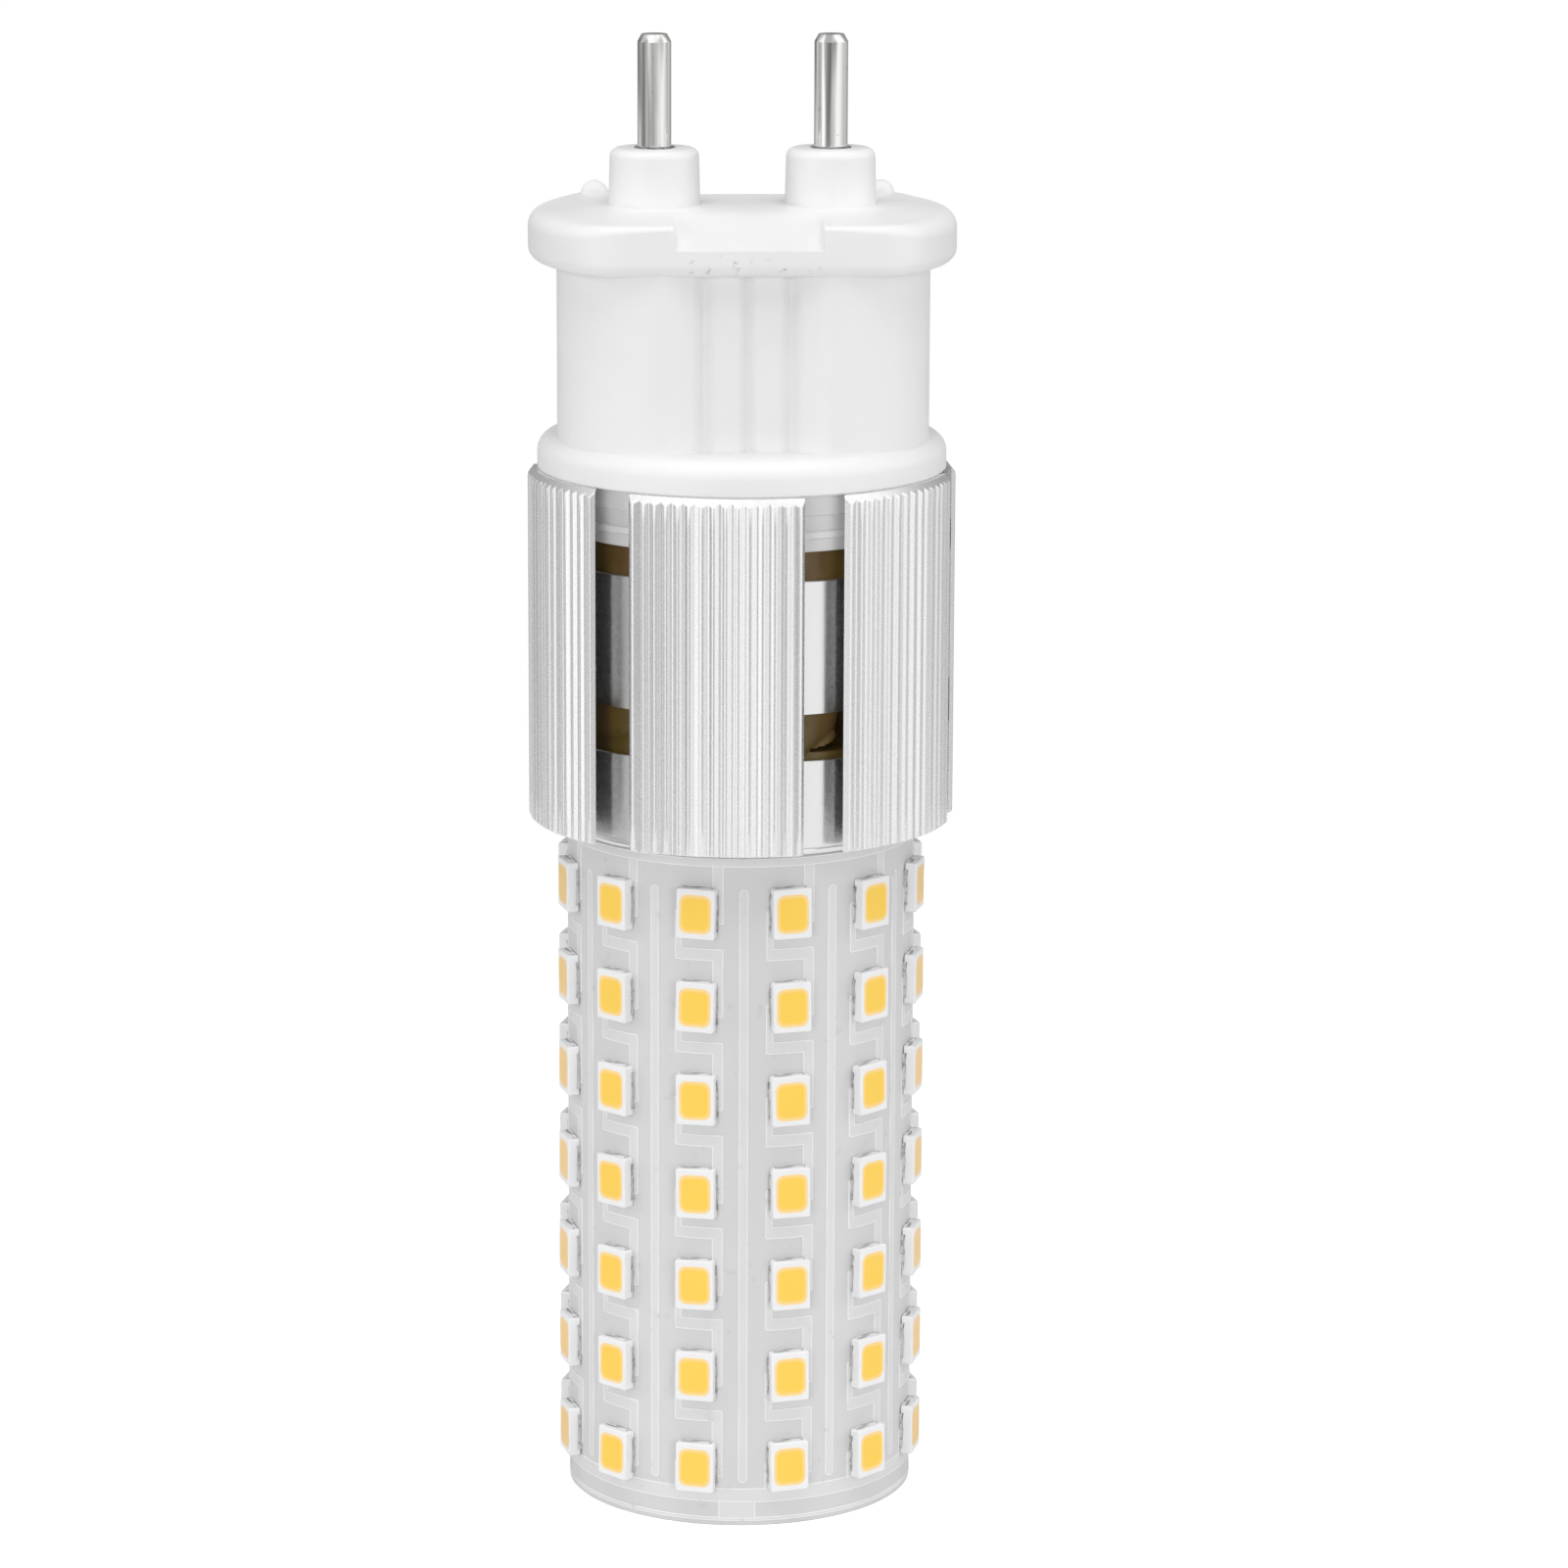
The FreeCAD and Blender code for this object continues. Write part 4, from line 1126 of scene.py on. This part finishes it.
class CORNLAMP_OT_film(bpy.types.Operator):
    """Models the brown film inside the core and the tube, crinkled behind the lower openings"""

    bl_idname = "cornlamp.film"
    bl_label = "Insulating film"

    def execute(self, context):
        sizes = context.scene.lamp_sink
        low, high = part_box("insulating_sleeve")
        top = BASE_FOOT + context.scene.lamp_base.spigot_lift
        step = SINK_TOP - sizes.plate_length + MM
        clearance = 0.05 * MM
        radius = sizes.core_diameter / 2 - sizes.core_wall - clearance
        fold_from, fold_to = 0.2, 0.9
        foot, head = 53 * MM, 59 * MM
        turns = even(-math.pi, fold_from, 80) + even(fold_from, fold_to, 60)[1:]
        turns += even(fold_to, math.pi, 60)[1:]
        levels = even(low.z, step - clearance, 4) + even(step + clearance, foot, 4)
        levels += even(foot, head, 48)[1:] + even(head, top, 14)[1:]
        sheet = add_sheet("film_sleeve", [radius * angle for angle in turns], levels)
        for vertex in sheet.data.vertices:
            dip = self.crinkle(vertex.co.x / radius, vertex.co.z / MM) * MM
            vertex.co.y = radius - high.x if vertex.co.z < step else dip
        wrap_round(sheet, radius)
        close_shell(sheet)
        apply_modifier(sheet, "SOLIDIFY", thickness=0.1 * MM, offset=-1.0)
        hand_over(shade(sheet, 40.0), film_finish(), "brown_film", "insulating_sleeve")
        return {"FINISHED"}

    def crinkle(self, angle, level):
        """How far the film dips at an angle and a level, in mm: dents, creases and a fold at the right."""
        middle, spread = 55.9, 2.6
        dent = 0.5 + 0.5 * math.sin(11 * angle + 0.9 * math.sin(0.8 * level))
        crease = 1 - abs(math.sin(6.0 * angle - 0.75 * level + 1.3 * math.sin(3 * angle)))
        zone = math.exp(-((level - middle) / spread) ** 2)
        return zone * (0.3 * dent + 0.35 * crease ** 2 + 1.6 * self.fold(math.degrees(angle), level))

    def fold(self, degrees, level):
        """Share of the fold at a place: its left edge curves away below, and it ends at the web."""
        start, end, width = 30.0, 42.0, 1.5
        foot, curve_top = 54.7, 56.9
        if degrees >= end or level <= foot:
            return 0.0
        return smooth((degrees - start + 0.1 * max(0.0, curve_top - level) ** 6) / width)


class CORNLAMP_OT_board(bpy.types.Operator):
    """Models the LED board wrapped round the tube, with its raised tracks, bars and bands"""

    bl_idname = "cornlamp.board"
    bl_label = "LED board"

    def execute(self, context):
        sizes = context.scene.lamp_board
        edge = 0.06 * MM
        sheet = add_sheet("led_board_skin", self.girth(), [0.0, edge, BOARD_TOP - edge, BOARD_TOP])
        for vertex in sheet.data.vertices:
            if vertex.co.z < edge / 2 or vertex.co.z > BOARD_TOP - edge / 2:
                vertex.co.y = edge
        wrap_round(sheet, BOARD_RADIUS)
        close_shell(sheet)
        apply_modifier(sheet, "SOLIDIFY", thickness=sizes.thickness - edge, offset=-1.0)
        mask = plain_finish("board_mask", tuple(sizes.mask), 0.5, grain=1500.0, depth=6e-6, scuff=0.93,
                            level=0.62, scuff_scale=900.0)
        hand_over(shade(sheet, 30.0), mask, "board_mask", "led_board")
        tracks = self.tracks(sizes, context.scene.lamp_leds)
        copper = track_finish(tuple(sizes.track), tuple(sizes.track_highlight))
        hand_over(shade(tracks, 50.0), copper, "board_mask", "led_board")
        return {"FINISHED"}

    def girth(self):
        """Places right round the board, laid flat."""
        return even(-math.pi * BOARD_RADIUS, math.pi * BOARD_RADIUS, 144)

    def strip(self, sizes, name, xs, zs, keep=always, corner=0.0):
        """Flat raised shape made of the cells of a grid that are kept, with its pale rim marked."""
        sheet = add_sheet(name, xs, zs)
        pick(sheet, "FACE", lambda face: not keep(face.calc_center_median()))
        bpy.ops.mesh.delete(type="FACE")
        if corner:
            pick(sheet, "VERT", lambda vertex: len(vertex.link_faces) == 1)
            bpy.ops.mesh.bevel(offset=corner, segments=4, affect="VERTICES", clamp_overlap=False)
        pick(sheet, "FACE", always)
        bpy.ops.mesh.inset(thickness=sizes.track_rim, depth=0.0, use_boundary=True)
        object_mode()
        mesh = bmesh.new()
        mesh.from_mesh(sheet.data)
        outer = {vertex.index for vertex in mesh.verts if vertex.is_boundary}
        mesh.free()
        # The rim marks the band along the edge that the track finish paints as a highlight
        rim = sheet.data.attributes.new("rim", "FLOAT", "POINT")
        for vertex in sheet.data.vertices:
            rim.data[vertex.index].value = 1.0 if vertex.index in outer else 0.0
        pick(sheet, "FACE", always)
        bpy.ops.mesh.extrude_region_move(TRANSFORM_OT_translate={"value": (0.0, -sizes.track_height, 0.0)})
        object_mode()
        sunk = 0.01 * MM
        for vertex in sheet.data.vertices:
            vertex.co.y += sunk
        return sheet

    def tracks(self, sizes, leds):
        """Every raised shape of the board, flat first and then rolled on."""
        left = -leds.width / 2 - 0.27 * MM
        right = leds.width / 2 + 0.41 * MM
        left_inner = left + sizes.left_leg
        right_inner = right - sizes.right_leg
        band_top = -leds.height / 2 - 0.81 * MM
        band_foot = band_top - sizes.band
        hidden = 0.1 * MM
        tucked = 0.8 * MM
        first_level = leds.first_level
        top_level = first_level + leds.pitch * (leds.rows - 1)

        def z_shape(place):
            if place.z > band_top:
                return place.x < left_inner
            return place.z > band_foot or place.x > right_inner

        xs = [left] + even(left_inner, right_inner, 5) + [right]
        zs = [-leds.pitch - tucked, band_foot, band_top, hidden]
        half = sizes.bar_width / 2
        link = self.strip(sizes, "link", xs, zs, z_shape, 0.13 * MM)
        bar = self.strip(sizes, "bar", [-half, half], BAR_ENDS, corner=half * 0.96)
        drop = self.strip(sizes, "drop", [right_inner, right], [-tucked, DROP_TOP - top_level])
        tail = self.strip(sizes, "tail", [left, left_inner], [TAIL_FOOT - first_level, hidden])
        pieces = []
        step = 2 * math.pi / leds.columns
        for column in range(leds.columns):
            arc = (leds.grid_turn + step * column) * BOARD_RADIUS
            between = arc + step * BOARD_RADIUS / 2
            places = [(link, arc, first_level + leds.pitch * row) for row in range(1, leds.rows)]
            places += [(drop, arc, top_level), (tail, arc, first_level), (bar, between, 0.0)]
            for pattern, along, level in places:
                pieces.append(copy_of(pattern, pattern.name, Matrix.Translation((along, 0.0, level))))
        for pattern in (link, bar, drop, tail):
            discard(pattern)
        for low, high in BOARD_BANDS:
            pieces.append(self.strip(sizes, "band", self.girth(), [low * MM, high * MM]))
        pad = [math.radians(degrees) * BOARD_RADIUS for degrees in even(*PAD_SPAN, 6)]
        pieces.append(self.strip(sizes, "pad", pad, PAD_ENDS))
        tracks = join(pieces, "board_tracks")
        wrap_round(tracks, BOARD_RADIUS)
        return close_shell(tracks)


class CORNLAMP_OT_leds(bpy.types.Operator):
    """Models one LED with its solder, and copies it up every column"""

    bl_idname = "cornlamp.leds"
    bl_label = "LEDs"

    def execute(self, context):
        sizes = context.scene.lamp_leds
        white = plain_finish("led_housing", tuple(sizes.housing), 0.42, grain=2500.0, depth=3e-6,
                             scuff=0.9, level=0.72)
        kinds = (
            ("housings", self.housing(sizes), white, "led_white", "led_housings"),
            ("faces", self.face(sizes), face_finish(sizes), "led_phosphor", "led_phosphor"),
            ("solder", self.solder(sizes), solder_finish(), "lead_metal", "led_housings"),
        )
        draw = random.Random(7)
        for column in range(sizes.columns):
            places = self.places(sizes, column, draw)
            number = f"{column + 1:02d}"
            for kind, pattern, finish, slot, replaced in kinds:
                pieces = [copy_of(pattern, kind, place) for place in places]
                joined = shade(join(pieces, f"led_{kind}_{number}"), 40.0)
                hand_over(joined, finish, slot, f"{replaced}_column_{number}")
        for kind, pattern, finish, slot, replaced in kinds:
            discard(pattern)
        return {"FINISHED"}

    def places(self, sizes, column, draw):
        """Place of every LED in a column, each a hair off its grid and slightly twisted."""
        wander, twist = 0.05, 1.2
        around = Matrix.Rotation(sizes.grid_turn + 2 * math.pi / sizes.columns * column, 4, "Z")
        places = []
        for row in range(sizes.rows):
            shift = Vector((draw.uniform(-wander, wander) * MM, 0.0, draw.uniform(-wander, wander) * MM))
            turned = Matrix.Rotation(math.radians(draw.uniform(-twist, twist)), 4, "Y")
            level = Vector((0.0, 0.0, sizes.first_level + sizes.pitch * row))
            places.append(around @ Matrix.Translation(level + shift) @ turned)
        return places

    def housing(self, sizes):
        """White block with round corners and a soft front edge."""
        half = sizes.width / 2
        tall = sizes.height / 2
        far = -BOARD_RADIUS - sizes.thickness
        cup = add_box("housing", (-half, far, -tall), (half, -BOARD_RADIUS, tall))
        pick(cup, "EDGE", lambda edge: abs(edge.verts[0].co.y - edge.verts[1].co.y) > 0.1 * MM)
        bpy.ops.mesh.bevel(offset=0.16 * MM, segments=3, affect="EDGES", clamp_overlap=False)
        pick(cup, "EDGE", lambda edge: all(vertex.co.y < far + 0.01 * MM for vertex in edge.verts))
        bpy.ops.mesh.bevel(offset=0.1 * MM, segments=3, affect="EDGES", clamp_overlap=False)
        object_mode()
        return close_shell(cup)

    def face(self, sizes):
        """Slightly crowned yellow face in rings, with how near its rim each point lies."""
        proud, crown = 0.002 * MM, 0.02 * MM
        shares = (1.0, 0.92, 0.84, 0.72, 0.4)
        face = add_sheet("face", [-sizes.face_width / 2, sizes.face_width / 2],
                         [-sizes.face_height / 2, sizes.face_height / 2])
        pick(face, "VERT", always)
        bpy.ops.mesh.bevel(offset=sizes.face_corner, segments=4, affect="VERTICES", clamp_overlap=False)
        object_mode()
        corners = len(face.data.vertices)
        pick(face, "FACE", always)
        for outer, inner in zip(shares, shares[1:]):
            bpy.ops.mesh.extrude_region_move(TRANSFORM_OT_translate={"value": (0.0, 0.0, 0.0)})
            bpy.ops.transform.resize(value=(inner / outer, 1.0, inner / outer))
        object_mode()
        rim = face.data.attributes.new("rim", "FLOAT", "POINT")
        for index, vertex in enumerate(face.data.vertices):
            share = shares[index // corners]
            rim.data[index].value = share
            vertex.co.y = -BOARD_RADIUS - sizes.thickness + proud - crown * (1.0 - share)
        return face

    def solder(self, sizes):
        """Uneven beads at the left and right of a housing, and a dark strip along its upper edge: a painted
        shadow where the housing meets the board.
        """
        draw = random.Random(3)
        side = sizes.width / 2
        tall = sizes.height / 2
        half, reach = 0.08 * MM, 1.25 * MM
        # The last number of each block is how much painted shadow darkens it: a little on the side beads,
        # fully on the strip along the upper edge.
        blocks = [(way * side - half, way * side + half, -reach, reach, 0.15 * MM, 0.2) for way in (-1, 1)]
        blocks.append((-side + 0.3 * MM, side - 0.25 * MM, tall - 0.1 * MM, tall + 0.01 * MM, 0.4 * MM, 1.0))
        beads = []
        for left, right, low, high, rise, soot in blocks:
            outer, inner = -BOARD_RADIUS - rise, -BOARD_RADIUS + 0.12 * MM
            bead = add_box("bead", (left, outer, low), (right, inner, high))
            pick(bead, "FACE", always)
            bpy.ops.mesh.subdivide(number_cuts=3)
            object_mode()
            dark = bead.data.attributes.new("soot", "FLOAT", "POINT")
            for vertex in bead.data.vertices:
                vertex.co += Vector([draw.uniform(-0.05, 0.05) * MM for axis in range(3)])
                dark.data[vertex.index].value = soot
            beads.append(bead)
        return join(beads, "solder")


class CORNLAMP_OT_inside(bpy.types.Operator):
    """Gives the end cap and the driver inside their finishes"""

    bl_idname = "cornlamp.inside"
    bl_label = "Inner parts"

    def execute(self, context):
        finishes = {
            "end_cap": plain_finish("cap_plastic", (0.72, 0.72, 0.72), 0.5),
            "driver_board": plain_finish("driver_laminate", (0.05, 0.16, 0.07), 0.45),
            "driver_capacitor": plain_finish("capacitor_wrap", (0.03, 0.03, 0.035), 0.35),
            "driver_choke": plain_finish("choke_ferrite", (0.05, 0.05, 0.05), 0.6),
            "driver_film_capacitor": plain_finish("film_capacitor", (0.55, 0.38, 0.05), 0.4),
        }
        black = plain_finish("component_body", (0.02, 0.02, 0.02), 0.5)
        wires = plain_finish("tinned_wire", (0.70, 0.70, 0.69), 0.3, metallic=1.0)
        for name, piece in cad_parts.items():
            if piece.hide_render:
                continue
            finish = finishes.get(name, wires if "lead" in name else black)
            for entry in piece.material_slots:
                entry.material = finish
        return {"FINISHED"}


class CORNLAMP_OT_studio(bpy.types.Operator):
    """Sets the camera, the pale floor and the soft lights"""

    bl_idname = "cornlamp.studio"
    bl_label = "Studio"

    def execute(self, context):
        self.camera(context.scene)
        self.floor()
        self.lights()
        self.sky(context.scene)
        context.scene.view_settings.view_transform = "Standard"
        return {"FINISHED"}

    def camera(self, scene):
        """Camera in front of the lamp and a little above it."""
        focal_pixels, frame_pixels = 6090.0, 1601.0
        pitch, yaw, roll, around = (math.radians(degrees) for degrees in (12.286, 0.413, 0.146, -2.35))
        stand = Vector((0.0, -0.4053, 0.13828))
        data = bpy.data.cameras.new("camera")
        data.sensor_width = 36.0
        data.lens = focal_pixels / frame_pixels * data.sensor_width
        data.clip_start = 0.01
        data.clip_end = 20.0
        ahead = Vector((0.0, math.cos(pitch), -math.sin(pitch)))
        right = Vector((1.0, 0.0, 0.0))
        above = Vector((0.0, math.sin(pitch), math.cos(pitch)))
        look = math.cos(yaw) * ahead + math.sin(yaw) * right
        across = math.cos(yaw) * right - math.sin(yaw) * ahead
        level = math.cos(roll) * across + math.sin(roll) * above
        rise = math.cos(roll) * above - math.sin(roll) * across
        axes = Matrix((level, rise, -look)).transposed().to_4x4()
        camera = bpy.data.objects.new("camera", data)
        camera.matrix_world = Matrix.Rotation(around, 4, "Z") @ (Matrix.Translation(stand) @ axes)
        scene.collection.objects.link(camera)
        scene.camera = camera

    def floor(self):
        """Wide pale floor that keeps a faint shadow."""
        clear_selection()
        bpy.ops.mesh.primitive_circle_add(vertices=128, radius=0.19, fill_type="NGON")
        floor = settle("floor")
        pick(floor, "FACE", always)
        bpy.ops.mesh.inset(thickness=0.06)
        object_mode()
        material, tree, shader, vector = new_material("floor_card")
        fine = grain_on(tree, vector, 40.0)
        card = mix_colours(tree, fine.outputs["Value"], (0.78, 0.78, 0.78), (0.82, 0.82, 0.82))
        wire(tree, card, shader.inputs["Base Color"])
        shader.inputs["Roughness"].default_value = 0.9
        shader.inputs["Specular IOR Level"].default_value = 0.0
        glow = node(tree, "ShaderNodeEmission")
        path = node(tree, "ShaderNodeLightPath")
        direct = math_node(tree, "MULTIPLY", path.outputs["Is Camera Ray"], 0.5)
        glossy, through = path.outputs["Is Glossy Ray"], path.outputs["Is Transmission Ray"]
        faint = math_node(tree, "MULTIPLY", math_node(tree, "MAXIMUM", glossy, through), 0.05)
        wire(tree, math_node(tree, "ADD", direct, faint), glow.inputs["Strength"])
        total = node(tree, "ShaderNodeAddShader")
        wire(tree, shader.outputs["BSDF"], total.inputs[0])
        wire(tree, glow.outputs["Emission"], total.inputs[1])
        output = [entry for entry in tree.nodes if entry.type == "OUTPUT_MATERIAL"][0]
        wire(tree, total.outputs["Shader"], output.inputs["Surface"])
        floor.data.materials.append(material)

    def lights(self):
        """Soft lamps in front, at both sides and above; the metal mirrors the sky's tones instead."""
        lamps = (
            ("lamp_front_left", (-0.28, -0.62, 0.16), 0.26, 1.0),
            ("lamp_front_right", (0.24, -0.64, 0.16), 0.26, 1.0),
            ("lamp_left", (-0.72, 0.0, 0.28), 0.45, 1.6),
            ("lamp_right", (0.72, 0.0, 0.28), 0.45, 1.6),
            ("lamp_above", (0.0, -0.15, 0.75), 0.60, 3.3),
        )
        for name, place, side, power in lamps:
            data = bpy.data.lights.new(name, "AREA")
            data.shape = "SQUARE"
            data.size = side
            data.energy = power
            lamp = bpy.data.objects.new(name, data)
            lamp.location = place
            lamp.visible_glossy = False
            aim = Vector((0.0, 0.0, 0.05)) - Vector(place)
            lamp.rotation_euler = aim.to_track_quat("-Z", "Y").to_euler()
            bpy.context.scene.collection.objects.link(lamp)

    def sky(self, scene):
        """Even light all round; white to the camera, and soft tones for the metal to mirror."""
        world = bpy.data.worlds.new("studio")
        world.use_nodes = True
        tree = world.node_tree
        tree.nodes.clear()
        output = node(tree, "ShaderNodeOutputWorld")
        path = node(tree, "ShaderNodeLightPath")
        place = node(tree, "ShaderNodeTexCoord")
        parts = node(tree, "ShaderNodeSeparateXYZ")
        wire(tree, place.outputs["Generated"], parts.inputs["Vector"])
        ahead = math_node(tree, "MULTIPLY", parts.outputs["Y"], -1.0)
        angle = math_node(tree, "ARCTAN2", parts.outputs["X"], ahead)
        lift = span_node(tree, parts.outputs["Z"], -0.16, 0.10)
        low, high = (self.tones(tree, angle, stops) for stops in (LOW_TONES, HIGH_TONES))
        tones = mix_colours(tree, lift, low, high)
        fill = self.background(tree, WHITE, 0.33)
        mirror = self.background(tree, tones, 1.0)
        white = self.background(tree, WHITE, 1.0)
        seen = math_node(tree, "MAXIMUM", path.outputs["Is Camera Ray"], path.outputs["Is Transmission Ray"])
        light = self.choose(tree, path.outputs["Is Glossy Ray"], fill, mirror)
        wire(tree, self.choose(tree, seen, light, white), output.inputs["Surface"])
        scene.world = world

    def background(self, tree, tint, strength):
        """Background of a colour or a socket."""
        made = node(tree, "ShaderNodeBackground")
        feed(tree, tint, made.inputs["Color"])
        made.inputs["Strength"].default_value = strength
        return made.outputs["Background"]

    def choose(self, tree, factor, first, second):
        """The first background, or the second where the factor is 1."""
        made = node(tree, "ShaderNodeMixShader")
        for index, source in enumerate((factor, first, second)):
            wire(tree, source, made.inputs[index])
        return made.outputs["Shader"]

    def tones(self, tree, angle, stops):
        """Grey that changes with the direction round the object, in degrees from the front."""
        ramp = node(tree, "ShaderNodeValToRGB")
        wire(tree, span_node(tree, angle, -math.pi, math.pi), ramp.inputs["Fac"])
        set_stops(ramp, [((degrees + 180.0) / 360.0, (grey, grey, grey)) for degrees, grey in stops])
        return ramp.outputs["Color"]


OPERATORS = (
    CORNLAMP_OT_base,
    CORNLAMP_OT_pins,
    CORNLAMP_OT_sink,
    CORNLAMP_OT_film,
    CORNLAMP_OT_board,
    CORNLAMP_OT_leds,
    CORNLAMP_OT_inside,
    CORNLAMP_OT_studio,
)


class CORNLAMP_PT_panel(bpy.types.Panel):
    """Lists the pieces of the lamp and their sizes"""

    bl_idname = "CORNLAMP_PT_panel"
    bl_label = "Corn lamp"
    bl_space_type = "VIEW_3D"
    bl_region_type = "UI"
    bl_category = "Corn lamp"

    def draw(self, context):
        layout = self.layout
        for operator in OPERATORS:
            layout.operator(operator.bl_idname)
        for group, kind in SIZE_GROUPS.items():
            box = layout.box()
            for name in kind.__annotations__:
                box.prop(getattr(context.scene, group), name)


CLASSES = tuple(SIZE_GROUPS.values()) + OPERATORS + (CORNLAMP_PT_panel,)


def register():
    """Registers every class and hangs the sizes on the scene."""
    for item in CLASSES:
        bpy.utils.register_class(item)
    for group, kind in SIZE_GROUPS.items():
        setattr(bpy.types.Scene, group, PointerProperty(type=kind))


def unregister():
    """Takes the sizes and the classes away again."""
    for group in SIZE_GROUPS:
        delattr(bpy.types.Scene, group)
    for item in reversed(CLASSES):
        bpy.utils.unregister_class(item)


def main():
    """Builds every piece in order."""
    register()
    bpy.ops.cornlamp.base()
    bpy.ops.cornlamp.pins()
    bpy.ops.cornlamp.sink()
    bpy.ops.cornlamp.film()
    bpy.ops.cornlamp.board()
    bpy.ops.cornlamp.leds()
    bpy.ops.cornlamp.inside()
    bpy.ops.cornlamp.studio()
    clear_selection()


if __name__ == "__main__":
    main()
